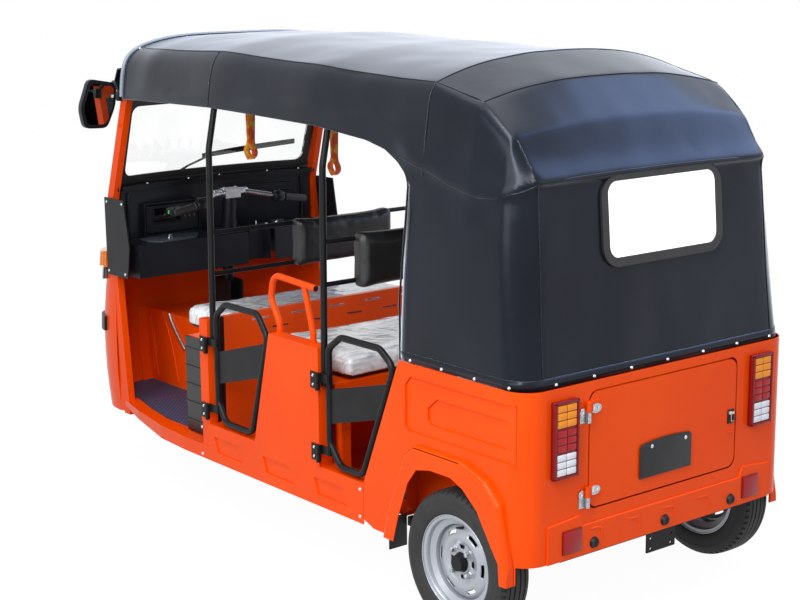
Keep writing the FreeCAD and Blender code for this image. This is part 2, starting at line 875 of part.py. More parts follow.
def halfTub():
    """Left half of the tub: folded sheet with a flared arch and pressed panels."""
    body = newBody("tub_left")
    side = p.halfWidth
    back = p.tailReach
    front = p.tubFrontLow + 30
    wall = [(0, -front), (side, -front), (side, back), (0, back)]
    pad(body, outline(body, "XY_Plane", p.sillBottom, wall, "Plan"), p.hemTop - p.sillBottom)
    rounded(body, p.tubCorner, lambda edge: along(edge, V(0, 0, 1)) and
            edge.BoundBox.YMin > n(back) - 1 and edge.BoundBox.XMin > 1)
    doc.recompute()
    tip = body.Tip
    shell = body.newObject("PartDesign::Thickness", "Shell")
    shell.Base = (tip, facesOf(tip.Shape, lambda b: b.ZLength < 1e-3 or
                               (b.YLength < 1e-3 and b.YMin < 0) or (b.XLength < 1e-3 and b.XMax < 1)))
    bind(shell, "Value", p.skin)
    shell.Reversed = True
    body.Tip = shell

    # Pressed quarter panel in two steps, backed inside so the sheet keeps its thickness.
    deep = p.recessDeep
    recess = [(-268, 664), (-252, 648), (275, 648), (275, 846), (-240, 846), (-268, 815)]
    inner = [(-158, 704), (-142, 690), (238, 690), (238, 792), (-110, 792), (-158, 752)]
    pad(body, outline(body, "YZ_Plane", side - p.skin - deep, recess, "RecessBack"), deep, "RecessPad")
    pad(body, outline(body, "YZ_Plane", side - p.skin - deep * 2, inner, "InnerBack"), deep * 2, "InnerPad")
    edge = p.skin
    smaller = [(a + (edge if a < 0 else 0), b + (edge if b < 750 else -edge)) for a, b in recess]
    pocket(body, outline(body, "YZ_Plane", side + 1, smaller, "RecessFace"), deep + 1, "RecessCut")
    smaller = [(a + (edge if a < 0 else -edge), b + (edge if b < 740 else -edge)) for a, b in inner]
    pocket(body, outline(body, "YZ_Plane", side + 1, smaller, "InnerFace"), deep * 2 + 1, "InnerCut")

    # Arch lip: a raised band around the opening, hollow behind.
    wide = p.flareWide
    low = p.sillBottom
    lip = [
        (-(p.archFront + wide), low),
        (-(p.archFront + wide * 0.5), low + 110),
        (-(p.archFront - wide * 0.9), p.archTop + wide * 0.35),
        (-(p.archFront - wide * 1.7), p.archTop + wide),
        (40, p.archTop + wide),
        (p.archRear - wide * 1.6, p.archTop + wide * 0.4),
        (p.archRear - wide * 0.5, p.archTop - wide * 0.6),
        (p.archRear + 8, p.tubBottom),
        (p.archRear + 8, low),
    ]
    opening = [
        (-p.archFront, low - 5),
        (-(p.archFront - 30), low + 96),
        (-(p.archFront - 84), p.archTop - 70),
        (-(p.archFront - 128), p.archTop - 16),
        (-(p.archFront - 200), p.archTop),
        (0, p.archTop),
        (60, p.archTop - 24),
        (p.archRear - 132, p.archTop - 80),
        (p.archRear - 66, p.archTop - 180),
        (p.archRear - 30, p.tubBottom + 9),
        (p.archRear - 24, low - 5),
    ]
    pad(body, outline(body, "YZ_Plane", side - p.skin, lip, "LipOutline"), p.flareOut + p.skin, "LipPad")
    top = side + p.flareOut
    rounded(body, 16, lambda e: abs(e.BoundBox.XMin - n(top)) < 0.01 and abs(e.BoundBox.XMax - n(top)) < 0.01
            and e.BoundBox.ZMax > n(low) + 1 and not (abs(e.BoundBox.YLength) < 0.01 and e.BoundBox.ZMax < 320),
            "LipRound")
    hollow = [(a * 0.986 if a < 0 else a - 7, b - (4 if b > 300 else 5)) for a, b in
              [(n(a), n(b)) for a, b in lip]]
    pocket(body, outline(body, "YZ_Plane", top - p.skin, hollow, "LipHollow"), p.flareOut + p.skin + 12, "LipInside")
    pocket(body, outline(body, "YZ_Plane", top + 5, opening, "ArchEdge"), 60 + p.flareOut, "ArchCut")

    # Lower band of the tail, stepping up beside the lamps.
    step = 388
    band = [(0, p.tubBottom), (548, p.tubBottom), (548, 440), (step + 16, 452), (step, 414), (0, 414)]
    sketch = outline(body, "XZ_Plane", -(back - p.skin), band, "BandOutline")
    added = pad(body, sketch, p.bandOut + p.skin, "BandPad")
    doc.recompute()
    if body.Shape.BoundBox.YMax < n(back) + 1:
        added.Reversed = True
    rounded(body, 5, lambda e: abs(e.BoundBox.YMin - n(back + p.bandOut)) < 0.01 and
            abs(e.BoundBox.YMax - n(back + p.bandOut)) < 0.01 and e.BoundBox.ZMin > n(p.tubBottom) + 1
            and e.BoundBox.XMax > 1, "BandRound")

    # Slanted front edge, door opening, lower edge.
    lean = (p.tubFrontLow - p.tubFrontTop) / (p.hemTop - p.sillTop)
    slant = [
        (-(p.tubFrontTop - lean * 10), p.hemTop + 10),
        (-(p.tubFrontLow + 60), p.hemTop + 10),
        (-(p.tubFrontLow + 60), p.sillBottom - 10),
        (-(p.tubFrontLow - 90), p.sillBottom - 10),
        (-(p.tubFrontLow - 2), p.sillBottom + 20),
        (-(p.tubFrontLow - 2), p.sillTop),
    ]
    pocket(body, outline(body, "YZ_Plane", side + 5, slant, "FrontEdge"), side + 10, "FrontCut")
    hole = [(-1, p.doorLow), (p.doorHalf, p.doorLow), (p.doorHalf, p.doorHigh), (-1, p.doorHigh)]
    pocket(body, outline(body, "XZ_Plane", -(back + 5), hole, "TrunkEdge"), 20, "TrunkCut")
    rounded(body, p.doorCorner, lambda e: along(e, V(0, 1, 0)) and abs(e.BoundBox.XMin - n(p.doorHalf)) < 0.01
            and e.BoundBox.YMin > 300, "TrunkRound")
    under = [(-1, low - 5), (side + 60, low - 5), (side + 60, p.tubBottom), (-1, p.tubBottom)]
    pocket(body, outline(body, "XZ_Plane", -(back + 25), under, "LowEdge"), 25 + back - p.archRear - 10, "LowCut")
    return body


def rearTub():
    left = halfTub()
    both = fuse("tub_both", [left, mirrored("tub_right", left)])
    both.Refine = True
    at(both, 0, shift, 0)
    return done("rear_tub", both)


rearTub()


def tubInner():
    """Wheel houses, load floor and the panels that carry the rear bench."""
    inside = p.halfWidth - p.skin - 0.5
    narrow = inside - p.recessDeep * 2
    wellIn = half_track - p.tyreWidth / 2 - 32
    front = -370
    back = 262
    top = p.archTop + 24
    seat = p.seatTop - p.cushion - p.fitGap
    rest = 158
    roofBody = newBody("house_roof")
    points = [(wellIn, front), (inside, front), (inside, 222), (inside - 10, back), (wellIn, back)]
    pad(roofBody, outline(roofBody, "XY_Plane", top, points), p.skin)
    wall = box("house_wall", wellIn, front, p.railLift, p.skin, back - front, top - p.railLift + 1)
    rear = box("house_back", wellIn, back - p.skin, p.tubBottom + 4, inside - wellIn - 10, p.skin,
               top - p.tubBottom - 3)
    lead = box("house_front", wellIn, front, p.sillTop + 1, inside - wellIn, p.skin, top - p.sillTop)
    leadLow = box("house_front_low", wellIn, front, p.railLift, 560 - wellIn, p.skin, 110)
    side = fuse("house_side", [roofBody, wall, rear, lead, leadLow])
    deck = box("tub_deck", -wellIn, front, 436, wellIn * 2, 670, p.skin)
    riser = box("tub_riser", -narrow, front, top, narrow * 2, p.skin, seat - top)
    riserLow = box("tub_riser_low", -wellIn, front, p.floorTop, wellIn * 2, p.skin, top - p.floorTop + 3)
    shelf = box("tub_shelf", -narrow, front, seat - p.skin, narrow * 2, rest - front, p.skin)
    restLow = box("tub_rest_low", -wellIn, rest, 436, wellIn * 2, p.skin, top - 430)
    restHigh = box("tub_rest", -(inside - 60), rest, top, (inside - 60) * 2, p.skin, 1120 - top)
    both = fuse("tub_inner_all", [side, mirrored("house_other", side), deck, riser, riserLow, shelf,
                                  restLow, restHigh])
    at(both, 0, shift, 0)
    return done("tub_inner", both)


tubInner()


def engineBlock():
    obj = box("engine_box", -180, -300, 150, 360, 170, 286 - p.fitGap)
    at(obj, -180, -300 + shift, 150)
    return done("engine_block", obj)


engineBlock()


doorAxisX = p.doorHalf + 10
doorAxisY = p.tailReach + 10


def trunkDoor():
    body = newBody("door_body")
    x = p.doorHalf - p.play
    low = p.doorLow + p.play
    high = p.doorHigh - p.play
    face = [(-x, low), (x, low), (x, high), (-x, high)]
    pad(body, outline(body, "XZ_Plane", -p.tailReach, face), 16)
    doc.recompute()
    if body.Shape.BoundBox.YMax > n(p.tailReach) + 1:
        body.Tip.Reversed = True
    rounded(body, p.doorCorner, lambda edge: along(edge, V(0, 1, 0)))
    rim_ = p.skin
    inner = [(-(x - rim_), low + rim_), (x - rim_, low + rim_), (x - rim_, high - rim_), (-(x - rim_), high - rim_)]
    sketch = outline(body, "XZ_Plane", -(p.tailReach - 16), inner, "Inside")
    pocket(body, sketch, 16 - p.skin)
    arms = []
    for index, level in enumerate((505, 790)):
        arms.append(box("door_arm_%d" % index, x - 40, p.tailReach, level, 40 + 6, 4, 34))
        arms.append(rod("door_barrel_%d" % index, "z", doorAxisX, doorAxisY, level, 8, 34))
    bores = [rod("door_bore_%d" % index, "z", doorAxisX, doorAxisY, level - 1, p.pin + p.runFit, 36)
             for index, level in enumerate((505, 790))]
    links = []
    for index, level in enumerate((505, 790)):
        links.append(box("door_link_%d" % index, x - 4, p.tailReach + 0.001, level, 14, 10, 34))
    whole = fuse("door_all", [body] + arms + links)
    drilled = cut("door_drilled", whole, fuse("door_bores", bores))
    at(drilled, 0, shift, 0)
    return done("trunk_door", drilled)


trunkDoor()


def trunkHinges():
    pieces = []
    for index, level in enumerate((505, 790)):
        leaf = box("leaf_%d" % index, doorAxisX - 2, p.tailReach, level - 34.6, 34, 3, 34)
        knuckle = rod("knuckle_%d" % index, "z", doorAxisX, doorAxisY, level - 34.6, 8, 34)
        bridge = box("bridge_%d" % index, doorAxisX - 5, p.tailReach, level - 34.6, 10, 8, 34)
        pinRod = rod("hinge_pin_%d" % index, "z", doorAxisX, doorAxisY, level - 2, p.pin, 35)
        pieces.append(fuse("hinge_%d" % index, [leaf, knuckle, bridge, pinRod]))
    both = together("hinges_all", pieces)
    at(both, 0, shift, 0)
    return done("trunk_hinges", both)


trunkHinges()


def tailPieces():
    face = p.tailReach
    lamp = box("lamp_left", 426, face, 592, 110, p.lampDepth, 258)
    soft = softEdges("lamp_soft", lamp, 8, lambda edge: edge.BoundBox.YMin > n(face + p.lampDepth) - 0.01)
    mark = box("reflector_left", 400, face + p.bandOut, 332, 86, 8, 80)
    both = bothSides("lamps_both", together("lamp_pair", [soft, mark]))
    at(both, 0, shift, 0)
    done("tail_lamps", both)
    plateBox = box("plate_box", -127, face + 4, 512, 254, 3, 130)
    studA = rod("plate_stud_a", "y", -96, face, 612, 6, 4)
    studB = rod("plate_stud_b", "y", 96, face, 612, 6, 4)
    both = fuse("plate_all", [plateBox, studA, studB])
    at(both, 0, shift, 0)
    done("number_plate", both)
    latch = box("latch_box", -350, face, 622, 34, 8, 48)
    at(latch, -350, face + shift, 622)
    done("trunk_latch", latch)
    plugs = []
    for index, x in enumerate((-340, 0, 340)):
        plugs.append(rod("plug_%d" % index, "y", x, face + p.bandOut, 344, 16, 8))
    both = together("plugs_all", plugs)
    at(both, 0, shift, 0)
    done("rear_plugs", both)


tailPieces()


def mudFlaps():
    """Rubber flaps behind the front feet of the rear arches."""
    flap = box("flap_left", 566, -363, 196, p.halfWidth - p.skin - p.fitGap - 566, 4, 116)
    both = bothSides("flaps_both", flap)
    at(both, 0, shift, 0)
    return done("mud_flaps", both)


mudFlaps()


noseFront = -(p.wheelBase + p.noseReach)


noseLevels = [
    # height, half width, how far the front draws back from the foremost point
    (254, 552, 34),
    (420, 562, 6),
    (640, 562, 0),
    (880, 552, 55),
    (1085, 543, 120),
    (n(p.screenLow), 532, 188),
]


def noseAt(level):
    """Half width and draw back of the nose at any height, eased between the table's rows."""
    rows_ = noseLevels
    index = 0
    while index < len(rows_) - 2 and level > rows_[index + 1][0]:
        index += 1
    low, high = rows_[index], rows_[index + 1]
    span = high[0] - low[0]
    share = (level - low[0]) / span
    values = []
    for column in (1, 2):
        before = rows_[max(index - 1, 0)]
        after = rows_[min(index + 2, len(rows_) - 1)]
        slopeLow = (high[column] - before[column]) / (high[0] - before[0]) * span
        slopeHigh = (after[column] - low[column]) / (after[0] - low[0]) * span
        t2, t3 = share ** 2, share ** 3
        values.append((2 * t3 - 3 * t2 + 1) * low[column] + (t3 - 2 * t2 + share) * slopeLow +
                      (3 * t2 - 2 * t3) * high[column] + (t3 - t2) * slopeHigh)
    return values


def nosePoints(level, stand, first, last, steps):
    """Points around the nose at one height; 0 degrees is the left side and 90 the front."""
    half, drawn = noseAt(level)
    back = -n(p.wheelBase) - 30
    front = n(noseFront) + drawn - stand
    points = []
    for index in range(steps + 1):
        angle = math.radians(first + (last - first) * index / steps)
        c, s = math.cos(angle), max(math.sin(angle), 0.0)
        x = (half + stand) * math.copysign(abs(c) ** 0.62, c)
        points.append(V(x, back - (back - front) * s ** 0.72, level))
    return points


def splineThrough(points):
    curve = Part.BSplineCurve()
    curve.interpolate(points)
    return curve.toShape()


def noseSolid(inset):
    """Body of the nose; a positive inset gives the space inside the sheet."""
    rings = []
    count = 12
    lowest, highest = noseLevels[0][0], noseLevels[-1][0]
    for index in range(count + 1):
        level = lowest + (highest - lowest) * index / count
        points = nosePoints(level, -inset, 0, 180, 24)
        ends = 2 if inset > 0 else 0
        shift_ = V(0, inset, -ends if index == 0 else ends if index == count else 0)
        points = [point + shift_ if inset > 0 else point for point in points]
        rings.append(Part.Wire([splineThrough(points), Part.LineSegment(points[-1], points[0]).toShape()]))
    return Part.makeLoft(rings, True, True)


def frontCowl():
    outer = noseSolid(0)
    inner = noseSolid(n(p.skin))
    trim = Part.makeBox(2000, 60, 1300, V(-1000, -n(p.wheelBase) - 32, 100))
    shell = outer.cut(inner)
    front = n(noseFront)
    wheelWay = Part.makeBox(2 * 246, 420, 420, V(-246, front - 40, 180))
    shell = shell.cut([wheelWay, trim, pillarShape()])
    shell = max(shell.Solids, key=lambda solid: solid.Volume)
    obj = shaped("cowl_shape", shell)
    at(obj, 0, shift, 0)
    return done("front_cowl", obj)


frontCowl()


def leanPoint(level, side=0):
    """A point on the steering axis at one height."""
    y = -n(p.wheelBase) - n(p.trail) + n(p.rake) * (level - n(p.tyreRadius))
    return V(side, y, level)


def wheelWell():
    """Sheet tunnel above the steered wheel that parts it from the footwell."""
    half = 238
    skin = n(p.skin)
    front = n(noseFront) + 60
    rear = -2070.0
    top = 640.0
    low = 254.0
    outer = Part.makeBox(2 * half, rear - front, top - low, V(-half, front, low))
    inner = Part.makeBox(2 * half - 2 * skin, rear - front - skin, top - low - skin,
                         V(-half + skin, front - 1, low - 1))
    inner = inner.fuse(Part.makeBox(2 * half - 2 * skin, rear - front - skin, top - low - skin,
                                    V(-half + skin, front, low - 1)))
    shell = outer.cut(inner)
    column = Part.makeBox(60, 70, 40, V(-30, leanPoint(top).y - 35, top - 20))
    shell = shell.cut(column)
    obj = shaped("well_shape", shell)
    at(obj, 0, shift, 0)
    return done("wheel_well", obj)


wheelWell()


roofStations = [
    # station, crown height, eaves height, eaves half width, half width at the lower edge
    (-2205, 1800, 1770, 566, 600),
    (-1980, 1880, 1846, 578, 622),
    (-1460, 1920, 1884, 590, 638),
    (-800, 1926, 1876, 592, 642),
    (-190, 1918, 1846, 588, 640),
]
tailStations = [
    # station, crown, eaves, eaves half width, half width low, station at the hem
    (30, 1820, 1776, 572, 641, 100),
    (163, 1696, 1670, 562, 641, 215),
    (252, 1540, 1534, 552, 641, 306),
]
hem = n(p.hemTop + p.fitGap)
sideBreak = 1600.0


screenFoot = -2410.0
screenHead = -2296.0
screenBow = 84.0


def visor():
    sections = []
    low = 1680.3
    for x in (-578, -500, -250, 0, 250, 500, 578):
        bend = (abs(x) / 578) ** 2.4
        y = -2340 + 88 * bend
        top = 1776 - 6 * bend
        sections.append(Part.makePolygon([
            V(x, y, low), V(x, y - 26, low + 40), V(x, y, top), V(x, y + 40, top + 6), V(x, y + 40, top),
            V(x, y + 4, top - 8), V(x, y - 20, low + 38), V(x, y + 6, low), V(x, y, low)]))
    obj = shaped("visor_shape", Part.makeLoft(sections, True, True))
    at(obj, 0, shift, 0)
    return done("roof_visor", obj)


visor()


def bowed(half, rear, front, steps=8):
    """Plan points of a line that bows forward between two equal ends."""
    points = []
    for index in range(2 * steps + 1):
        x = half * (index - steps) / steps
        share = 1 - (x / half) ** 2
        points.append((x, rear + (front - rear) * share))
    return points


def bowedSlab(low, high, thick):
    """Slab between two bowed lines; each is (half, rear, front, level)."""
    rings = []
    for half, rear, front, level in (low, high):
        line = bowed(half, rear, front)
        points = [V(x, y, level) for x, y in line] + [V(x, y + thick, level) for x, y in line[::-1]]
        rings.append(Part.makePolygon(points + points[:1]))
    return Part.makeLoft(rings, True, True)


trayTop = 1012
trayLow = 868


podLow = 95
podHigh = 385
podTop = 1160
podBack = -2429
podFace = -2406
wallRear = -2400
wallFoot = -2484
wallHead = -2468


def podSolid(first, last, low, high):
    """Meter pod: fills the bowed wall between two stations, flat on the driver's side."""
    rings = []
    for level in (low, high):
        front = wallFoot + (wallHead - wallFoot) * (level - low) / (n(p.screenLow) - low)
        points = []
        for index in range(9):
            x = first + (last - first) * index / 8
            points.append(V(x, wallRear + (front - wallRear) * (1 - (x / 505) ** 2) + 3, level))
        points += [V(last, podFace, level), V(first, podFace, level)]
        rings.append(Part.makePolygon(points + points[:1]))
    return Part.makeLoft(rings, True, True)


def dashboard():
    """Moulded tray with a bowed wall behind it and a rolled rim under the windscreen."""
    top = n(p.screenLow) - 12
    back = bowedSlab((505, wallRear, wallFoot, trayTop - 20), (505, wallRear, wallHead, top), 5)
    rim_ = bowedSlab((505, -2404, -2474, top - 22), (505, -2404, -2466, top), 34)
    half = 520.0
    rear = -2222.0
    plan = [V(-half, -2396, 0), V(-half, rear - 6, 0), V(-190, rear - 4, 0), V(-166, rear - 70, 0),
            V(-70, rear - 76, 0), V(-40, rear, 0), V(half, rear - 6, 0), V(half, -2396, 0), V(300, -2420, 0),
            V(-300, -2420, 0)]
    for point in plan:
        point.z = trayLow
    tray = Part.Face(Part.makePolygon(plan + plan[:1])).extrude(V(0, 0, trayTop - trayLow))
    under = [V(v.x * 0.992, v.y - 4 if v.y > -2390 else v.y + 4, trayLow - 1) for v in plan]
    hollow = Part.Face(Part.makePolygon(under + under[:1])).extrude(V(0, 0, trayTop - trayLow - 3))
    tray = tray.cut(hollow)
    column = Part.makeBox(190, 170, 60, V(-95, -2418, trayTop - 30))
    pod = podSolid(podLow, podHigh, trayTop - 1, podTop)
    podHollow = Part.makeBox(podHigh - podLow - 12, 60, podTop - trayTop - 14, V(podLow + 6, podBack, trayTop + 8))
    whole = back.fuse([rim_, tray]).cut(column).fuse(pod.cut(podHollow))
    ribs = [Part.makeBox(120, 60, 6, V(-440, -2450, 1130)), Part.makeBox(120, 60, 6, V(-260, -2462, 1150))]
    obj = shaped("dash_shape", whole.fuse(ribs))
    at(obj, 0, shift, 0)
    return done("dashboard", obj)


dashboard()


def dashCheeks():
    points = [(555.4, -2440, 1206), (555.4, -2278, 1206), (555.4, -2240, 1000), (555.4, -2262, 867), (555.4, -2436, 867)]
    side = plate([(x, y, z) for x, y, z in points], "x", 6)
    obj = shaped("cheek_plates", Part.makeCompound([side, flipped(side)]))
    at(obj, 0, shift, 0)
    return done("dash_cheeks", obj)


dashCheeks()


def instrument():
    behind = podBack + p.fitGap
    low = podLow + 12
    wide = podHigh - podLow - 24
    obj = box("meter_box", low, behind, trayTop + 16, wide, podFace - podBack - 4, podTop - trayTop - 30)
    at(obj, low, behind + shift, trayTop + 16)
    return done("instrument_panel", obj)


instrument()


def screen():
    """Bowed windscreen pane in its rubber."""
    low = n(p.screenLow) + n(p.fitGap)
    high = n(p.screenHigh) - 12
    foot = (530, screenFoot, screenFoot - screenBow)
    head = (530, screenHead, screenHead - 52)

    def curved(ahead, thick):
        a, b = ([half, rear + ahead, front + ahead, level] for (half, rear, front), level in
                ((foot, low - 40), (head, high)))
        a[1] -= (b[1] - a[1]) * 40 / (high - low)
        return bowedSlab(a, b, thick)

    def prism(inset):
        corners = [V(-504 + inset, -2700, low + inset), V(504 - inset, -2700, low + inset),
                   V(504 - inset, -2700, high - inset), V(-504 + inset, -2700, high - inset)]
        slab = Part.Face(Part.makePolygon(corners + corners[:1])).extrude(V(0, 700, 0))
        return slab.makeFillet(36, [edge for edge in slab.Edges if along(edge, V(0, 1, 0))]) if inset else slab

    seal = curved(-8, 16).common(prism(0)).cut(prism(28))
    glass = curved(-3, 5).common(prism(28.4))
    return seal, glass


windowMid = -22
windowHalf = 260
windowLow = 1265
windowHigh = 1512
windowRound = 40
sealWide = 30


def windowPrism(grown):
    """Rounded block through the tail curtain, larger than the clear opening by one amount."""
    low = windowLow - grown
    high = min(windowHigh + grown, tailStations[-1][2] - 4)
    half = windowHalf + grown
    block = Part.makeBox(2 * half, 300, high - low, V(windowMid - half, 150, low))
    return block.makeFillet(windowRound + grown, [edge for edge in block.Edges if along(edge, V(0, 1, 0))])


def rearWindow():
    """Flat pane of the tail curtain in its rubber."""
    station, lip, foot = tailStations[-1][0], tailStations[-1][2], tailStations[-1][5]

    def leaning(ahead, thick):
        corners = []
        for x, z in ((-500, hem), (500, hem), (500, lip), (-500, lip)):
            corners.append(V(x, station + (foot - station) * (lip - z) / (lip - hem) + ahead, z))
        return Part.Face(Part.makePolygon(corners + corners[:1])).extrude(V(0, thick, 0))

    ring = leaning(n(p.fitGap), 9).common(windowPrism(sealWide)).cut(windowPrism(0))
    return ring, leaning(2, 3).common(windowPrism(-n(p.fitGap)))


def windows():
    seal, glass = screen()
    ring, pane = rearWindow()
    for label, first, second in (("window_seals", seal, ring), ("window_glass", glass, pane)):
        obj = shaped(label + "_shape", Part.makeCompound([first, second]))
        at(obj, 0, shift, 0)
        done(label, obj)


windows()


def wiper():
    """Arm and blade that rest on the outside of the windscreen."""
    path = [(160, -2523, 1262), (96, -2497.4, 1300), (0, -2469.7, 1340), (-215, -2449.9, 1357), (-430, -2407.7, 1374)]
    arm = tubeShape(path[:3], 8, 5)
    blade = tubeShape(path[2:], 400, 6)
    spindle = Part.makeCylinder(11, 26, V(160, -2528, 1258), V(0, 1, 0.25))
    obj = shaped("wiper_shape", arm.fuse([blade, spindle]))
    at(obj, 0, shift, 0)
    return done("windscreen_wiper", obj)


wiper()


def noseBand(stand, first, last, low, high):
    """Band on the outside of the nose between two angles and two heights."""
    rings = []
    steps = 3
    for index in range(steps + 1):
        level = low + (high - low) * index / steps
        count = max(6, int((last - first) / 7))
        outside = nosePoints(level, stand, first, last, count)
        inside = nosePoints(level, 0.5, first, last, count)[::-1]
        rings.append(Part.Wire([
            splineThrough(outside),
            Part.LineSegment(outside[-1], inside[0]).toShape(),
            splineThrough(inside),
            Part.LineSegment(inside[-1], outside[0]).toShape(),
        ]))
    return Part.makeLoft(rings, True, False)


def frontLamps():
    """Tall clear lamps on the nose corners with turn lamps on black feet under them."""
    lamp = noseBand(9, 13, 60, 972, 1104)
    turn = noseBand(34, 14, 36, 898, 962)
    foot = noseBand(20, 13, 38, 838, 897)
    parts = [lamp, turn, foot]
    obj = shaped("lamp_shape", Part.makeCompound(parts + [flipped(part) for part in parts]))
    at(obj, 0, shift, 0)
    return done("front_lamps", obj)


frontLamps()


def frontStrip():
    """Dark moulded strip around the nose above the wheel."""
    band = noseBand(n(p.bumperOut), 11, 169, 604, 668)
    obj = shaped("strip_shape", band)
    at(obj, 0, shift, 0)
    return done("front_strip", obj)


frontStrip()


def steering():
    x = n(p.fork)
    axis = V(0, n(p.rake), 1)
    axis.normalize()
    crown = leanPoint(560)
    pieces = []
    for side in (x, -x):
        foot = leanPoint(n(p.tyreRadius), side) + V(0, n(p.trail), 0)
        pieces.append(Part.makeCylinder(19, 330, foot - axis * 16, axis))
        pieces.append(Part.makeCylinder(24, 150, foot + axis * 170, axis))
    bridge = Part.makeBox(2 * x + 60, 64 + n(p.trail), 34, V(-x - 30, crown.y - 32, 548))
    pieces.append(bridge)
    stem = (leanPoint(n(p.barHeight) - 20) - crown).Length
    pieces.append(Part.makeCylinder(16, stem, crown, axis))
    whole = pieces[0].fuse(pieces[1:])
    spindle = Part.makeCylinder(n(p.spindle), 2 * x, V(-x, -n(p.wheelBase), n(p.tyreRadius)), V(1, 0, 0))
    whole = whole.fuse(spindle)
    obj = shaped("fork_shape", whole)
    at(obj, 0, shift, 0)
    return done("front_fork", obj)


steering()


def handlebar():
    level = n(p.barHeight)
    top = leanPoint(level)
    grip = top.y + 80
    bar = tubeShape([(-346, grip, level - 50), (-232, grip - 4, level - 32), (-80, top.y, level),
                     (80, top.y, level), (232, grip - 4, level - 32), (346, grip, level - 50)], 50, 11)
    clamp = Part.makeBox(80, 44, 40, V(-40, -22, 0))
    clamp.Placement = FreeCAD.Placement(leanPoint(level - 20), FreeCAD.Rotation(V(0, 0, 1), V(0, n(p.rake), 1)))
    whole = bar.fuse(clamp)
    obj = shaped("bar_shape", whole)
    at(obj, 0, shift, 0)
    return done("handlebar", obj)


handlebar()


def frontFender():
    centre = V(0, -n(p.wheelBase), n(p.tyreRadius))
    half = 73
    skin = n(p.skin)
    outer = Part.makeCylinder(286, 2 * half, centre - V(half, 0, 0), V(1, 0, 0))
    inner = Part.makeCylinder(282, 2 * (half - skin), centre - V(half - skin, 0, 0), V(1, 0, 0))
    lower = Part.makeBox(400, 700, 500, V(-200, centre.y - 350, centre.z - 500 + 150))
    well = Part.makeCylinder(200, 200, centre - V(100, 0, 0), V(1, 0, 0))
    shell = outer.cut(inner).cut(lower).cut(well)
    neck = leanPoint(540)
    shell = shell.fuse(Part.makeBox(60, 40, 548 - 533, V(-30, neck.y - 20, 533)))
    obj = shaped("fender_shape", shell)
    at(obj, 0, shift, 0)
    return done("front_fender", obj)


frontFender()


def steeringHead():
    axis = V(0, n(p.rake), 1)
    axis.normalize()
    start = leanPoint(700)
    tube = Part.makeCylinder(26, 300, start, axis)
    base = Part.makeBox(200, 190, 6, V(-100, start.y - 96, 640))
    plates = [base]
    for side in (-36, 30):
        plates.append(Part.makeBox(6, 150, 150, V(side, start.y - 75, 640)))
    plates.append(Part.makeBox(72, 6, 100, V(-36, start.y - 70, 690)))
    plates.append(Part.makeBox(72, 6, 110, V(-36, start.y + 24, 680)))
    whole = tube.fuse(plates)
    whole = whole.cut(Part.makeCylinder(16 + n(p.runFit), 400, start - axis * 90, axis))
    obj = shaped("head_shape", whole)
    at(obj, 0, shift, 0)
    return done("steering_head", obj)


steeringHead()


gateX = p.halfWidth - p.gateTube - 2
axisX = p.halfWidth + p.hingeOut
frontGate = [(-1452, 500), (-1452, 852), (-1385, n(p.gateTop)), (-1165, n(p.gateTop)), (-1099, 822),
             (-1214, n(p.gateLow)), (-1400, n(p.gateLow))]
rearGate = [(-714, 500), (-714, 852), (-640, n(p.gateTop)), (-420, n(p.gateTop)), (-340, 850),
            (-520, n(p.gateLow)), (-650, n(p.gateLow))]
hingeLevels = (455, 725)


def gate(label, corners, pivot, panelLines, sign):
    x = n(gateX)
    loop = tubeShape([(x, y, z) for y, z in corners], 46, p.gateTube, closed=True)
    (y0, a0, b0), (y1, a1, b1) = panelLines
    panel = plate([(x - 2, y0, a0), (x - 2, y1, a1), (x - 2, y1 - 38, b1), (x - 2, y0, b0)], "x", 4)
    whole = loop.fuse(panel)
    leg = corners[0][0]
    for level in hingeLevels:
        barrel = Part.makeCylinder(n(p.barrel), 32, V(n(axisX), pivot, level + 1))
        strap = Part.makeBox(5, leg - pivot + 12, 32, V(n(p.halfWidth) - 2.5, pivot, level + 1))
        link = Part.makeBox(14, 9, 32, V(n(p.halfWidth) - 2.5, pivot, level + 1))
        foot = Part.makeBox(14, 22, 32, V(n(p.halfWidth) - 13, leg - 4, level + 1))
        whole = whole.fuse([barrel, strap, link, foot])
    for level in hingeLevels:
        whole = whole.cut(Part.makeCylinder(n(p.pin + p.runFit), 34, V(n(axisX), pivot, level)))
    if sign < 0:
        whole = flipped(whole)
    obj = shaped(label + "_shape", whole)
    at(obj, 0, shift, 0)
    return done(label, obj)


pivots = (-1497.0, -751.0)
frontPanel = ((-1452, 703, 574), (-1103, 801, 659))
rearPanel = ((-714, 700, 572), (-362, 790, 655))
for side, sign in (("left", 1), ("right", -1)):
    gate("gate_front_" + side, frontGate, pivots[0], frontPanel, sign)
    gate("gate_rear_" + side, rearGate, pivots[1], rearPanel, sign)


def gateHinges():
    x = n(p.halfWidth)
    pieces = []
    for pivot in pivots:
        for level in hingeLevels:
            leafPlate = Part.makeBox(4, 46, 62, V(x, pivot - 54, level - 31))
            reach = Part.makeBox(n(p.hingeOut) + 2, 12, 30, V(x, pivot - 12, level - 31))
            knuckle = Part.makeCylinder(n(p.barrel), 30, V(n(axisX), pivot, level - 31))
            pinRod = Part.makeCylinder(n(p.pin), 62, V(n(axisX), pivot, level - 31))
            piece = leafPlate.fuse([reach, knuckle, pinRod])
            pieces.append(piece)
            pieces.append(flipped(piece))
    obj = shaped("gate_hinge_shape", Part.makeCompound(pieces))
    at(obj, 0, shift, 0)
    return done("gate_hinges", obj)


gateHinges()


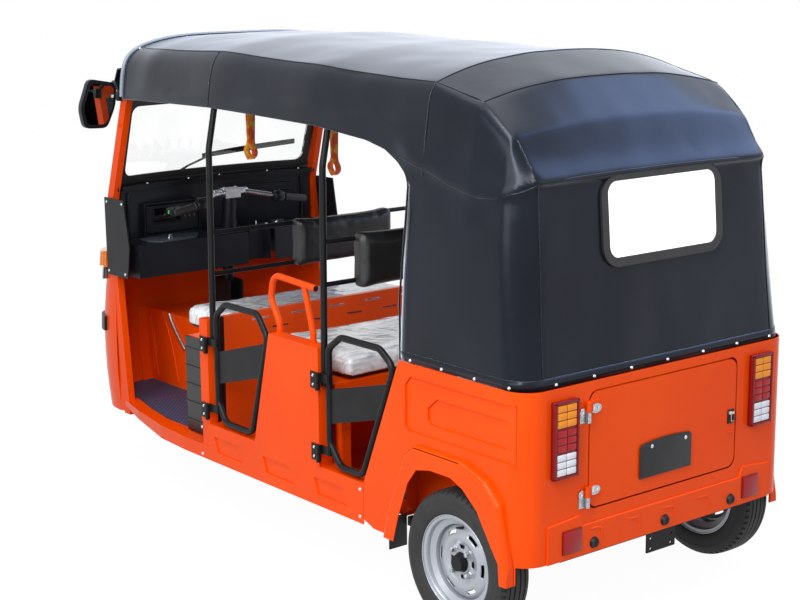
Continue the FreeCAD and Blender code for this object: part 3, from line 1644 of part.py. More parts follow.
def canopySection(row, inset, ahead=0):
    """Closed outline of the canopy at one station; tail outlines lean back."""
    station, crownZ, eavesZ, eavesX, lowX = row[:5]
    lowStation = row[5] if len(row) > 5 else station
    bottom = hem - (20 if inset else 0)
    turn = min(eavesZ - 60, sideBreak + 60) if eavesZ > sideBreak else eavesZ - 60
    top = crownZ - inset
    edge = eavesZ - inset
    half = eavesX - inset

    def spot(x, z):
        share = (eavesZ - z) / (eavesZ - hem)
        return V(x, station + (lowStation - station) * share - ahead, z)

    side = [(half + 6, edge - 44), (half + 1, edge - 16), (half - 18, edge), (half * 0.8, edge + (top - edge) * 0.42),
            (half * 0.42, edge + (top - edge) * 0.86), (0, top)]
    over = [spot(x, z) for x, z in side] + [spot(-x, z) for x, z in side[-2::-1]]
    curve = Part.BSplineCurve()
    curve.interpolate(over)
    low = lowX - inset
    mid = half + 6 + (low - half - 6) * 0.55
    midZ = edge - 44 - (edge - 44 - sideBreak) * 0.6 if edge - 44 > sideBreak + 40 else edge - 150
    chain = [over[-1], spot(-mid, midZ), spot(-low, bottom), spot(low, bottom), spot(mid, midZ), over[0]]
    edges = [curve.toShape()]
    for first, second in zip(chain, chain[1:]):
        edges.append(Part.LineSegment(first, second).toShape())
    return Part.Wire(edges)


def canopyHull(inset):
    wires = []
    for index, row in enumerate(roofStations):
        wires.append(canopySection(row, inset, 5 if inset and index == 0 else 0))
    for row in tailStations:
        wires.append(canopySection(row, inset, inset if row is tailStations[-1] else 0))
    return Part.makeLoft(wires, True, True)


def tailRound(inset):
    """Tall block whose two rear edges are rounded like the tub below."""
    half = n(p.halfWidth) - 7 - inset
    rear = tailStations[-1][5] - inset
    block = Part.makeBox(2 * half, rear + 1000, 1200, V(-half, -1000, 800))
    edges = [edge for edge in block.Edges if along(edge, V(0, 0, 1)) and edge.Vertexes[0].Point.y > 0]
    block = block.makeFillet(n(p.tubCorner) - 5 - inset, edges)
    front = Part.makeBox(1400, 1600, 1200, V(-700, -2400, 800))
    return block.fuse(front)


def canopy():
    cloth = 2.5
    outer = canopyHull(0).common(tailRound(0))
    hull = outer.cut(canopyHull(cloth).common(tailRound(cloth)))
    edge = [V(-700, -2300, 800), V(-700, -2300, 1656), V(-700, -1300, 1657), V(-700, -793, 1644),
            V(-700, -499, 1617), V(-700, -395, 1590), V(-700, -325, 1550), V(-700, -270, 1480),
            V(-700, -262, 1380), V(-700, -298, 892), V(-700, -298, 800)]
    opening = Part.Face(Part.makePolygon(edge + edge[:1])).extrude(V(1400, 0, 0))
    hull = hull.cut(opening)
    hull = hull.cut(windowPrism(sealWide / 2))
    solids = sorted(hull.Solids, key=lambda solid: -solid.Volume)
    obj = shaped("canopy_shape", solids[0])
    at(obj, 0, shift, 0)
    return done("canopy", obj)


canopy()


def roofFrame():
    """Rails, bows, posts and the bars that carry the backrests, all round tube."""
    tube = 12.5
    under = 20
    slim = 9
    postX = 628
    posts = ((-n(p.postRear) + tube + 0.5, 740), (-n(p.panelRear) + tube + 0.5, 706))
    pieces = []
    rails = [(row[3] - under - 12, row[0], row[2] - under - 24) for row in roofStations[1:]]
    points = [(519, -2253.7, 1660), (519, -2215, 1660)] + rails
    rail = tubeShape(points, 60, tube)
    pieces += [rail, flipped(rail)]
    for row in (roofStations[2], roofStations[4]):
        station, crownZ, eavesZ, eavesX, lowX = row
        edge = eavesX - under - 12
        bow = [(-edge, station, eavesZ - under - 24), (-(edge - 90), station, eavesZ - under - 4),
               (-200, station, crownZ - under - 12), (200, station, crownZ - under - 12),
               (edge - 90, station, eavesZ - under - 4), (edge, station, eavesZ - under - 24)]
        pieces.append(tubeShape(bow, 60, tube))
    for y, low in posts:
        top = 1826
        edge = 590 - under - 12
        post = tubeShape([(postX, y, low), (postX - 6, y, 1500), (edge, y, top)], 120, tube)
        pieces += [post, flipped(post)]
    for (y, low), levels in zip(posts, ((1172, 1010), (1230, 1076))):
        for z in levels:
            pieces.append(tubeShape([(-postX, y, z), (postX, y, z)], 10, slim))
    tail = [(556, -190, 1802), (538, 16, 1726), (528, 140, 1630), (518, 222, 1500), (538, 236, 1200), (609, 228, 960),
            (623.7, 223, 905), (624.2, 222, 882), (633.4, 218, 866)]
    hoop = tubeShape(tail, 60, tube)
    pieces += [hoop, flipped(hoop)]
    pieces.append(tubeShape([(-530, 140, 1632), (530, 140, 1632)], 10, 10))
    pieces.append(tubeShape([(-540, 16, 1728), (540, 16, 1728)], 10, 10))
    whole = pieces[0].fuse(pieces[1:])
    obj = shaped("roof_frame_shape", whole)
    at(obj, 0, shift, 0)
    return done("roof_frame", obj)


roofFrame()


def grabHandles():
    """Painted loops beside the middle bench; the upper tube ends open."""
    x = 604
    foot = n(p.panelTop) + 0.2
    loop = tubeShape([(x, -1058, foot), (x, -1058, 880), (x, -1112, 970), (x, -1092, 1062), (x, -826, 1048)], 46, 12.5)
    leg = tubeShape([(x, -846, foot), (x, -846, 880), (x, -896, 1046)], 10, 12)
    whole = loop.fuse(leg)
    obj = shaped("handle_shape", Part.makeCompound([whole, flipped(whole)]))
    at(obj, 0, shift, 0)
    return done("grab_handles", obj)


grabHandles()


def mirrors():
    """Rounded housings on short arms beside the windscreen."""
    back, deep = -2446, 44
    corners = [(498, 1698), (630, 1722), (676, 1600), (660, 1512), (552, 1508), (508, 1600)]
    points = [V(x, back, z) for x, z in corners]
    head = Part.Face(Part.makePolygon(points + points[:1])).extrude(V(0, deep, 0))
    head = head.makeFillet(24, [edge for edge in head.Edges if along(edge, V(0, 1, 0))])
    head = head.makeFillet(9, [edge for edge in head.Edges if edge.BoundBox.YLength < 1])
    arm = tubeShape([(539.6, -2296, 1640), (556, -2304, 1652), (556, -2372, 1674), (556, -2420, 1674)], 16, 8)
    side = arm.fuse(head)
    obj = shaped("mirror_shape", Part.makeCompound([side, flipped(side)]))
    at(obj, 0, shift, 0)
    return done("mirrors", obj)


mirrors()

doc.recompute()
wrong = []
for obj in doc.Objects:
    if "Invalid" in obj.State or "Error" in obj.State:
        wrong.append(obj.Name + " " + obj.getStatusString())
for obj in finished:
    if obj.Shape.isNull() or not obj.Shape.isValid():
        wrong.append(obj.Label + " shape")
if wrong:
    raise RuntimeError("bad objects: " + ", ".join(wrong))
for obj in finished:
    obj.Shape.exportStep("parts/" + obj.Label + ".step")
    bounds = obj.Shape.BoundBox
    print("%-20s solids %2d  x %7.1f %7.1f  y %7.1f %7.1f  z %7.1f %7.1f" % (
        obj.Label, len(obj.Shape.Solids), bounds.XMin, bounds.XMax, bounds.YMin, bounds.YMax,
        bounds.ZMin, bounds.ZMax))
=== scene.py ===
import bpy
import bmesh
import json
import math
from mathutils import Matrix, Vector, bvhtree, noise


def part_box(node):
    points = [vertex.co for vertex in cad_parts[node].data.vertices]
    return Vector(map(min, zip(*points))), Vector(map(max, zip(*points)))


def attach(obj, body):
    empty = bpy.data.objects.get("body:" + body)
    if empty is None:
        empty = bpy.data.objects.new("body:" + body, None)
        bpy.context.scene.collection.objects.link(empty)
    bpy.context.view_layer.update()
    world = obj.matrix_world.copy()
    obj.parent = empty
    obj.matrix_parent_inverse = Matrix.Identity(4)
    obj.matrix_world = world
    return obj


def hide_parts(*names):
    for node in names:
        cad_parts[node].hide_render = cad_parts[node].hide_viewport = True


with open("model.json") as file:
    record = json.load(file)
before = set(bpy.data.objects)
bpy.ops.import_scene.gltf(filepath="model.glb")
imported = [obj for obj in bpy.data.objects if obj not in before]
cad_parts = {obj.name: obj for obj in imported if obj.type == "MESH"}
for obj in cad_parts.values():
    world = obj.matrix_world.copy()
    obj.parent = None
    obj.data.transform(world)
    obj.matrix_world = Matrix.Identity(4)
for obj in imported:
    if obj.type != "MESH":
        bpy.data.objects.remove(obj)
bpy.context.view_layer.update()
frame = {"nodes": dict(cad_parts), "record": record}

# the CAD model's stations count from the rear axle, forward is negative; the axle lies here in the frame
axleY = (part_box("hub_rear_left")[0][1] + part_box("hub_rear_left")[1][1]) / 2
print("rear axle at", round(axleY, 4))


def mm(x, y, z):
    # a point given in millimetres from the rear axle, as a vector in metres
    return Vector((x / 1000, y / 1000 + axleY, z / 1000))


def linear(hexColour):
    values = [int(hexColour[i:i + 2], 16) / 255 for i in (0, 2, 4)]
    return [v / 12.92 if v <= 0.04045 else ((v + 0.055) / 1.055) ** 2.4 for v in values] + [1]


def addNode(mat, kind, settings=None, links=None):
    node = mat.node_tree.nodes.new("ShaderNode" + kind)
    for key, value in (settings or {}).items():
        if isinstance(key, int) or key in node.inputs:
            node.inputs[key].default_value = value
        else:
            setattr(node, key, value)
    for key, source in (links or {}).items():
        mat.node_tree.links.new(source, node.inputs[key])
    return node


def newMaterial(name, settings):
    # a material with one Principled shader, and the object's own coordinates ready for its patterns
    mat = bpy.data.materials.new(name)
    mat.use_nodes = True
    mat.node_tree.nodes.clear()
    shader = addNode(mat, "BsdfPrincipled", settings)
    addNode(mat, "OutputMaterial", links={"Surface": shader.outputs[0]})
    place = addNode(mat, "TexCoord").outputs["Object"]
    return mat, shader, place


def bumpFrom(mat, shader, height, distance, strength=1.0):
    bump = addNode(mat, "Bump", {"Distance": distance, "Strength": strength}, {"Height": height})
    mat.node_tree.links.new(bump.outputs[0], shader.inputs["Normal"])


def tinted(mat, shader, factor, dark, light, low=0.3, high=0.7):
    # colour that wanders between two hex values with a pattern
    ramp = addNode(mat, "ValToRGB", links={0: factor})
    ramp.color_ramp.elements[0].position = low
    ramp.color_ramp.elements[0].color = linear(dark)
    ramp.color_ramp.elements[1].position = high
    ramp.color_ramp.elements[1].color = linear(light)
    mat.node_tree.links.new(ramp.outputs[0], shader.inputs["Base Color"])


def mapped(mat, place, scale, turn=(0, 0, 0)):
    return addNode(mat, "Mapping", {"Scale": scale, "Rotation": turn}, {0: place}).outputs[0]


# materials


def clouded(name, settings, cloud, colours, grain=None):
    # the plain kind of material: its colour wanders with a noise of one (scale, detail); its bump, given as
    # (kind, height, strength, scale, detail), comes from a finer noise, from cells, or from the same noise
    mat, shader, place = newMaterial(name, settings)
    pattern = addNode(mat, "TexNoise", {"Scale": cloud[0], "Detail": cloud[1]}, {0: place}).outputs[0]
    tinted(mat, shader, pattern, *colours)
    if grain:
        kind, height, strength, *finer = grain
        if kind == "noise":
            pattern = addNode(mat, "TexNoise", {"Scale": finer[0], "Detail": finer[1]}, {0: place}).outputs[0]
        elif kind == "cells":
            pattern = addNode(mat, "TexVoronoi", {"Scale": finer[0]}, {0: place}).outputs["Distance"]
        bumpFrom(mat, shader, pattern, height, strength)
    return mat


def grainedPlastic(name, dark, light):
    # moulded polypropylene: near black, its leather grain of 2 mm breaks the highlights
    return clouded(name, {"Roughness": 0.36, "IOR": 1.49, "Specular IOR Level": 0.2}, (6.0, 3), (dark, light),
                   ("cells", 0.0002, 0.6, 480.0))


def brightPlate(name, dark, light, rough):
    # bright plated or cast metal, mottled where fingers and polish have left it uneven
    return clouded(name, {"Metallic": 1.0, "Roughness": rough}, (90.0, 4), (dark, light), ("same", 0.0001, 1))


def zincSteel():
    # zinc plated pressings: bright grey with a blotched, slightly rough face
    mat, shader, place = newMaterial("zinc_plated_steel", {"Metallic": 1.0, "Roughness": 0.32})
    spangle = addNode(mat, "TexVoronoi", {"Scale": 220.0}, {0: place})
    tinted(mat, shader, spangle.outputs["Distance"], "9A9EA3", "C3C6C9")
    rough = addNode(mat, "MapRange", {3: 0.26, 4: 0.42}, {0: spangle.outputs["Distance"]})
    mat.node_tree.links.new(rough.outputs[0], shader.inputs["Roughness"])
    return mat


def matRubber():
    # ribbed floor mat: blue grey rubber with raised diamonds 16 mm apart
    mat, shader, place = newMaterial("moulded_mat_rubber", {"Roughness": 0.62, "IOR": 1.52})
    waves = []
    for turn in (0.785, -0.785):
        side = mapped(mat, place, (1, 1, 1), (0, 0, turn))
        waves.append(addNode(mat, "TexWave", {"Scale": 20.0, "wave_profile": "TRI"}, {0: side}).outputs["Fac"])
    weave = addNode(mat, "Math", {"operation": "MULTIPLY"}, {0: waves[0], 1: waves[1]})
    tinted(mat, shader, weave.outputs[0], "232B44", "4A5678", 0.1, 0.6)
    bumpFrom(mat, shader, weave.outputs[0], 0.0025)
    return mat


def coatedCanvas(name, dark, light):
    # PVC coated canvas: blue black, the coating gives a broad cool sheen and the weave shows faintly through
    mat, shader, place = newMaterial(name, {
        "Roughness": 0.32, "IOR": 1.2, "Specular Tint": linear("B8CCF5"), "Coat Weight": 1.0, "Coat IOR": 1.21,
        "Coat Roughness": 0.22, "Coat Tint": linear("EEF3FC"), "Sheen Weight": 1.0, "Sheen Tint": linear("CCD4E2"),
        "Sheen Roughness": 0.28})
    cloud = addNode(mat, "TexNoise", {"Scale": 2.2, "Detail": 5, "Roughness": 0.55}, {0: place})
    tinted(mat, shader, cloud.outputs[0], dark, light)
    folds = addNode(mat, "TexNoise", {"Scale": 5.0, "Detail": 6, "Roughness": 0.5}, {0: place})
    weave = addNode(mat, "TexNoise", {"Scale": 700.0, "Detail": 1}, {0: place})   # threads 1.4 mm apart
    small = addNode(mat, "Math", {"operation": "MULTIPLY", 1: 0.03}, {0: weave.outputs[0]})
    both = addNode(mat, "Math", {"operation": "ADD"}, {0: folds.outputs[0], 1: small.outputs[0]})
    bumpFrom(mat, shader, both.outputs[0], 0.003)
    return mat


def windowPane():
    # clear sheet of the windows: a trace of haze, and the faint green of a thick pane
    mat, shader, place = newMaterial("toughened_glass_rear_painted_glow", {
        "Roughness": 0.0, "IOR": 1.45, "Transmission Weight": 1.0})
    haze = addNode(mat, "TexNoise", {"Scale": 4.0, "Detail": 2}, {0: place})
    tinted(mat, shader, haze.outputs[0], "F7FBFA", "FFFFFF")
    # the rear pane glows: painted light, a white emission of 0.55 with little transmission left, so that it reads white
    along = addNode(mat, "SeparateXYZ", links={0: place}).outputs[1]
    rear = addNode(mat, "Math", {"operation": "GREATER_THAN", 1: 0.0}, {0: along})
    clear = addNode(mat, "MapRange", {3: 1.0, 4: 0.12}, {0: rear.outputs[0]})
    mat.node_tree.links.new(clear.outputs[0], shader.inputs["Transmission Weight"])
    # painted glow of the rear pane
    glow = addNode(mat, "MapRange", {3: 0.0, 4: 0.55}, {0: rear.outputs[0]})
    mat.node_tree.links.new(glow.outputs[0], shader.inputs["Emission Strength"])
    shader.inputs["Emission Color"].default_value = linear("FFFFFF")
    return mat


def lensPlastic(name, dark, light, cells):
    # injection moulded acrylic lens, with a grid of small prisms in its back, as many to a metre as cells says
    mat, shader, place = newMaterial(name, {
        "Roughness": 0.2, "IOR": 1.49, "Specular IOR Level": 0.15, "Coat Weight": 0.3, "Coat Roughness": 0.03})
    prism = addNode(mat, "TexVoronoi", {"Scale": cells, "distance": "CHEBYCHEV", "Randomness": 0.0}, {0: place})
    tinted(mat, shader, prism.outputs["Distance"], dark, light, 0.1, 0.6)
    bumpFrom(mat, shader, prism.outputs["Distance"], 0.0008)
    return mat


def wovenWebbing():
    # woven polyester band: orange with yellow along its length, ribbed across
    mat, shader, place = newMaterial("woven_polyester_webbing", {"Roughness": 0.68, "IOR": 1.5, "Sheen Weight": 0.2})
    patches = addNode(mat, "TexNoise", {"Scale": 26.0, "Detail": 1}, {0: place})
    tinted(mat, shader, patches.outputs[0], "F0560A", "FFC02E", 0.44, 0.6)
    ribs = addNode(mat, "TexWave", {"Scale": 80.0, "bands_direction": "Z"}, {0: place})      # ribs 4 mm apart
    bumpFrom(mat, shader, ribs.outputs["Fac"], 0.0006)
    return mat


def polytheneFilm():
    # blown polythene film: clear, milky along its creases, with sharp broken highlights from its bump; its colour
    # paints highlights too, near white along each crease and pale grey between
    mat, shader, place = newMaterial("blown_polythene_film", {"Roughness": 0.16, "IOR": 1.5, "Coat Weight": 0.6,
                                                              "Coat Roughness": 0.05})
    stretched = mapped(mat, place, (9, 24, 16), (0, 0, 0.5))
    crease = addNode(mat, "TexNoise", {"Scale": 1.0, "Detail": 3, "Roughness": 0.5, "Distortion": 0.9}, {0: stretched})
    far = addNode(mat, "Math", {"operation": "SUBTRACT", 1: 0.5}, {0: crease.outputs[0]})
    ridge = addNode(mat, "Math", {"operation": "ABSOLUTE"}, {0: far.outputs[0]})
    # painted highlight: near white on the crease lines, pale grey between them
    tinted(mat, shader, ridge.outputs[0], "F8FAFC", "BCC4CC", 0.0, 0.2)
    milky = addNode(mat, "MapRange", {1: 0.0, 2: 0.2, 3: 0.96, 4: 0.88}, {0: ridge.outputs[0]})
    mat.node_tree.links.new(milky.outputs[0], shader.inputs["Alpha"])
    bumpFrom(mat, shader, ridge.outputs[0], 0.006)
    return mat


def frontLens():
    # moulded polycarbonate lamp cover: clear above, amber for the turn signal, black foot below
    mat, shader, place = newMaterial("moulded_polycarbonate_lens", {
        "Roughness": 0.12, "IOR": 1.58, "Coat Weight": 1.0, "Coat Roughness": 0.03})
    level = addNode(mat, "SeparateXYZ", links={0: place}).outputs[2]
    bands = addNode(mat, "ValToRGB", links={0: level})
    bands.color_ramp.interpolation = "CONSTANT"
    bands.color_ramp.elements[0].color = linear("101112")
    bands.color_ramp.elements[1].position = 0.89
    bands.color_ramp.elements[1].color = linear("E07A10")
    bands.color_ramp.elements.new(0.967).color = linear("C9CED3")
    mat.node_tree.links.new(bands.outputs[0], shader.inputs["Base Color"])
    flutes = addNode(mat, "TexWave", {"Scale": 26.0}, {0: place})                 # flutes 12 mm apart
    bumpFrom(mat, shader, flutes.outputs["Fac"], 0.0015)
    return mat


def seatBoxMetal():
    # the driver's bench box: orange enamelled steel, and black moulded plastic cheeks outside its walls
    cheekStart = 0.5602
    mat, shader, place = newMaterial("enamelled_box_with_plastic_cheeks", {"Roughness": 0.36, "IOR": 1.5})
    width = addNode(mat, "SeparateXYZ", links={0: place}).outputs[0]
    reach = addNode(mat, "Math", {"operation": "ABSOLUTE"}, {0: width})
    outside = addNode(mat, "Math", {"operation": "GREATER_THAN", 1: cheekStart}, {0: reach.outputs[0]})
    cloud = addNode(mat, "TexNoise", {"Scale": 3.0, "Detail": 3}, {0: place})
    tinted(mat, shader, outside.outputs[0], "F0500C", "151617", 0.4, 0.6)
    rough = addNode(mat, "MapRange", {3: 0.3, 4: 0.44}, {0: cloud.outputs[0]})
    mat.node_tree.links.new(rough.outputs[0], shader.inputs["Roughness"])
    return mat


# baked enamel on pressed steel: deep gloss with a fine orange peel, 4 mm wide, that softens each reflection's edge
paint = clouded("baked_enamel_orange", {
    "Roughness": 0.4, "IOR": 1.5, "Specular IOR Level": 0.04, "Coat Weight": 0.5, "Coat Roughness": 0.07,
    "Coat IOR": 1.27}, (3.0, 3), ("E64602", "EB4C04"), ("noise", 0.00006, 1, 260.0, 1))


# powder coat on tube: satin black with a faint pebble
blackSteel = clouded("powder_coated_steel_black", {"Roughness": 0.34, "IOR": 1.5, "Specular IOR Level": 0.16},
                     (9.0, 4), ("101112", "1A1B1D"), ("noise", 0.00008, 1, 900.0, 1))


# extruded rubber: dull black that takes a soft broad sheen
seal = clouded("extruded_rubber_black", {"Roughness": 0.55, "IOR": 1.52}, (40.0, 3), ("0E0E0F", "161617"))
# cured tyre rubber: flat charcoal with a trace of dust and mould lines
rubber = clouded("cured_tyre_rubber", {"Roughness": 0.72, "IOR": 1.52}, (22.0, 5), ("131314", "1F1F20"),
                 ("noise", 0.00015, 1, 1400.0, 2))


# wheel enamel: fine aluminium flake under a dull lacquer
rimPaint = clouded("aluminium_flake_enamel", {"Metallic": 0.55, "Roughness": 0.36}, (1600.0, 2), ("969BA3", "B8BCC3"))
# calendered vinyl: soft black with a leather grain of 2.4 mm and a low sheen
vinyl = clouded("calendered_vinyl_black", {"Roughness": 0.4, "IOR": 1.53}, (8.0, 3), ("121314", "1B1C1E"),
                ("cells", 0.0003, 0.7, 420.0))


# silvered glass: a bright even mirror, very slightly clouded
mirrorSilver = clouded("silvered_mirror_glass", {"Metallic": 1.0, "Roughness": 0.03}, (6.0, 2), ("C2C8CE", "CFD4D8"))
# stove enamelled plate: flat near black with the faint ripple of thin sheet
plateEnamel = clouded("stove_enamelled_plate", {"Roughness": 0.48, "IOR": 1.5, "Specular IOR Level": 0.35},
                      (14.0, 3), ("141516", "1D1E20"), ("same", 0.0006, 1))


# smoked acrylic over a dark display: deep black with a sharp gloss
displayGlass = clouded("smoked_acrylic_display", {"Roughness": 0.06, "IOR": 1.49}, (30.0, 1), ("050607", "0A0C0D"))
# green lit bar behind the display's window
tellTale = clouded("lit_green_acrylic", {
    "Roughness": 0.2, "IOR": 1.49, "Emission Strength": 1.2, "Emission Color": linear("12B853")},
    (200.0, 1), ("0FA04A", "19C860"))


# sand cast engine block: dull grey with a coarse skin
ironSkin = clouded("sand_cast_iron", {"Metallic": 0.4, "Roughness": 0.66}, (240.0, 5), ("3A3A39", "5A5A57"),
                   ("same", 0.0008, 1))
plastic = grainedPlastic("moulded_polypropylene_black", "101217", "191C22")
# the tray lids' plastic is painted charcoal grey instead of near black: a painted sheen for the light that falls on
# their tops
sheenPaintedTray = grainedPlastic("moulded_polypropylene_painted_sheen_grey", "30343C", "40454E")
zinc = zincSteel()
chrome = brightPlate("chrome_plated_steel", "B9BDC2", "D6D9DC", 0.16)
castAlloy = brightPlate("die_cast_alloy", "9EA2A6", "BEC1C4", 0.34)
canvas = coatedCanvas("pvc_coated_canvas", "0D0F13", "13161C")
canvasEdge = coatedCanvas("pvc_canvas_binding", "0C0E12", "14171C")
piping = coatedCanvas("pvc_piping_grey", "7E8388", "A4A9AE")
redPrism = lensPlastic("moulded_acrylic_red", "7A0710", "B4121C", 240)
amberLens = lensPlastic("moulded_acrylic_amber", "D97000", "FFA51E", 200)
clearLens = lensPlastic("moulded_acrylic_clear", "C4C8D2", "F4F6FA", 200)
lampFrame = lensPlastic("moulded_acrylic_dark_red", "6A060B", "84090F", 125)
webbing = wovenWebbing()
wrapFilm = polytheneFilm()
matFinish = matRubber()

# the first material of each slot is that of the CAD pieces, the others come with added pieces
slotFinishes = {
    "orange_paint": [paint, webbing], "black_steel": [blackSteel], "plated_steel": [zinc, chrome, castAlloy],
    "black_plastic": [plastic, sheenPaintedTray, plateEnamel], "mat_rubber": [matFinish], "seal_rubber": [seal],
    "black_vinyl": [vinyl], "canopy_cloth": [canvas, canvasEdge, piping], "red_lamp": [redPrism, lampFrame],
    "clear_lamp": [frontLens()], "clear_glass": [windowPane(), mirrorSilver, wrapFilm], "cast_engine": [ironSkin],
    "tyre_rubber": [rubber], "silver_rim": [rimPaint]}
slotOfNode = {row["node"]: row["material_slot"] for row in frame["record"]["subparts"]}
seatBoxFinish = seatBoxMetal()
for name, obj in frame["nodes"].items():
    finish = seatBoxFinish if name == "driver_seat_box" else slotFinishes[slotOfNode[name]][0]
    for slot in obj.material_slots:
        slot.link = "OBJECT"
        slot.material = finish
print("materials", len(bpy.data.materials))


# helpers for the added pieces


def onSide(side, points):
    # a path of the left side, or its mirror image
    return [(side * x, y, z) for x, y, z in points]


def placed(points):
    return [mm(*point) for point in points]


def newObject(name, bm):
    mesh = bpy.data.meshes.new(name)
    bm.to_mesh(mesh)
    bm.free()
    obj = bpy.data.objects.new(name, mesh)
    bpy.context.scene.collection.objects.link(obj)
    return obj


def finishPiece(name, bm, finishes, body="chassis", smooth=35, stand=()):
    # writes the bmesh to an object at the origin, shades it, ties it to its body and hides the CAD nodes it stands in
    # for
    finishes = finishes if isinstance(finishes, list) else [finishes]
    bmesh.ops.remove_doubles(bm, verts=bm.verts, dist=1e-6)
    obj = newObject(name, bm)
    for finish in finishes:
        obj.data.materials.append(finish)
    obj.data.shade_smooth()
    obj.data.set_sharp_from_angle(angle=math.radians(smooth))
    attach(obj, body)
    if stand:
        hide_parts(*stand)
    return obj


def applied(obj):
    # bakes the object's modifiers into its mesh
    view = bpy.context.evaluated_depsgraph_get()
    mesh = bpy.data.meshes.new_from_object(obj.evaluated_get(view))
    obj.modifiers.clear()
    obj.data = mesh
    return obj


def thickened(obj, thick, offset=0):
    # gives a sheet its thickness in metres; offset 0 puts half of it on each side
    wall = obj.modifiers.new("wall", "SOLIDIFY")
    wall.thickness = thick
    wall.offset = offset
    return applied(obj)


def softened(bm, geom, offset, segments=2, affect="EDGES"):
    return bmesh.ops.bevel(bm, geom=geom, offset=offset, offset_type="OFFSET", segments=segments, profile=0.5,
                           affect=affect, material=-1)["faces"]


def pushed(bm, face, way):
    # extrudes one face; gives the far faces and their vertices
    made = bmesh.ops.extrude_face_region(bm, geom=[face])["geom"]
    verts = [item for item in made if isinstance(item, bmesh.types.BMVert)]
    bmesh.ops.translate(bm, vec=way, verts=verts)
    return [item for item in made if isinstance(item, bmesh.types.BMFace)], verts


def connected(faces):
    # every face that hangs together with these
    grown, ring = set(), set(faces)
    while ring - grown:
        grown |= ring
        ring = {near for face in grown for edge in face.edges for near in edge.link_faces}
    return grown


def roundBox(bm, low, high, radius, segments=2, material=0):
    # box between two corners given in metres, with rounded edges
    low, high = Vector(low), Vector(high)
    made = bmesh.ops.create_cube(bm, size=1)["verts"]
    bmesh.ops.scale(bm, vec=high - low, verts=made)
    faces = softened(bm, list({edge for vert in made for edge in vert.link_edges}), radius, segments)
    made = list({vert for face in faces for vert in face.verts})
    bmesh.ops.translate(bm, vec=(low + high) / 2, verts=made)
    for face in {face for vert in made for face in vert.link_faces}:
        face.material_index = material


def turned(bm, profile, place, axis, steps=24, material=0):
    # spins a profile of (radius, height) points round an axis; both ends lie on the axis
    toAxis = Vector((0, 0, 1)).rotation_difference(Vector(axis).normalized()).to_matrix()
    verts = [bm.verts.new((radius, 0, height)) for radius, height in profile]
    edges = [bm.edges.new(pair) for pair in zip(verts, verts[1:])]
    bmesh.ops.spin(bm, geom=verts + edges, cent=(0, 0, 0), axis=(0, 0, 1), angle=2 * math.pi, steps=steps,
                   use_merge=True, use_duplicate=False)
    grown = connected(face for vert in verts if vert.is_valid for face in vert.link_faces)
    bmesh.ops.remove_doubles(bm, verts=list({vert for face in grown for vert in face.verts}), dist=1e-6)
    faces = [face for face in grown if face.is_valid]
    verts = list({vert for face in faces for vert in face.verts})
    bmesh.ops.recalc_face_normals(bm, faces=faces)
    for face in faces:
        face.material_index = material
    bmesh.ops.rotate(bm, cent=(0, 0, 0), matrix=toAxis, verts=verts)
    bmesh.ops.translate(bm, vec=place, verts=verts)


def addWire(bm, points, radius, resolution=4, smooth=True, material=0):
    # round bar along a curve
    curve = bpy.data.curves.new("bar", "CURVE")
    curve.dimensions = "3D"
    curve.bevel_depth = radius
    curve.bevel_resolution = resolution
    curve.use_fill_caps = True
    curve.resolution_u = 5
    line = curve.splines.new("NURBS" if smooth else "POLY")
    line.points.add(len(points) - 1)
    for spot, point in zip(line.points, points):
        spot.co = (*point, 1)
    if smooth:
        line.order_u = 3
        line.use_endpoint_u = True
    holder = bpy.data.objects.new("bar", curve)
    mesh = bpy.data.meshes.new_from_object(holder)
    bpy.data.objects.remove(holder)
    bpy.data.curves.remove(curve)
    before = set(bm.faces)
    bm.from_mesh(mesh)
    bpy.data.meshes.remove(mesh)
    for face in set(bm.faces) - before:
        face.material_index = material


# canopy

canopyForm = {
    # station, crown height, seam height, seam half width, half width at the hem, then how far the cloth rolls over
    # below the seam, how softly, and how square the roof is across; millimetres
    "roof": [(-2205, 1899, 1858, 484, 604, 84, 34, 4.0), (-1980, 1913, 1861, 524, 622, 56, 38, 3.2),
             (-1460, 1925, 1873, 554, 638, 44, 42, 2.6), (-800, 1911, 1849, 564, 642, 40, 38, 2.4),
             (-190, 1904, 1824, 568, 641, 24, 22, 2.4)],
    # station, crown, seam height, seam half width, way along the hem from the curtain's front edge
    "tail": [(-190, 1904, 1824, 568, 80), (30, 1832, 1774, 556, 330), (163, 1706, 1670, 546, 500),
             (252, 1545, 1534, 536, 652)],
    # lower edge of the tail's cap, and how far it stands out over the curtain, in metres
    "lip": [(-298, 1572), (-148, 1538), (-40, 1502), (60, 1482), (140, 1484), (215, 1505), (252, 1531)],
    "lipOut": 0.012,
    "sideEdge": [(-2205, 1648), (-2040, 1654), (-1483, 1662), (-1230, 1657), (-793, 1644), (-499, 1617), (-395, 1594),
                 (-325, 1558), (-284, 1524), (-260, 1490)],
    "hem": 888.3, "hemHalf": 641, "hemRear": 306, "hemCorner": 85, "curtainFront": (-260, -298),
    "join": (1470, 1400), "tailRoll": (24, 22, 2.4), "thick": 0.0024,
    "bows": (-2205, -1980, -1460, -825, -190), "kink": -190, "front": -2205, "smoothing": 2,
    "across": 56, "upperRows": 30, "curtainRows": 34, "window": (-22, 275, 1250, 1526, 50),
}


def along(table, y, column):
    # value of one column at a station, straight between the rows
    for low, high in zip(table, table[1:]):
        if y <= high[0] or high is table[-1]:
            share = (y - low[0]) / (high[0] - low[0])
            return low[column] + (high[column] - low[column]) * min(max(share, 0), 1)


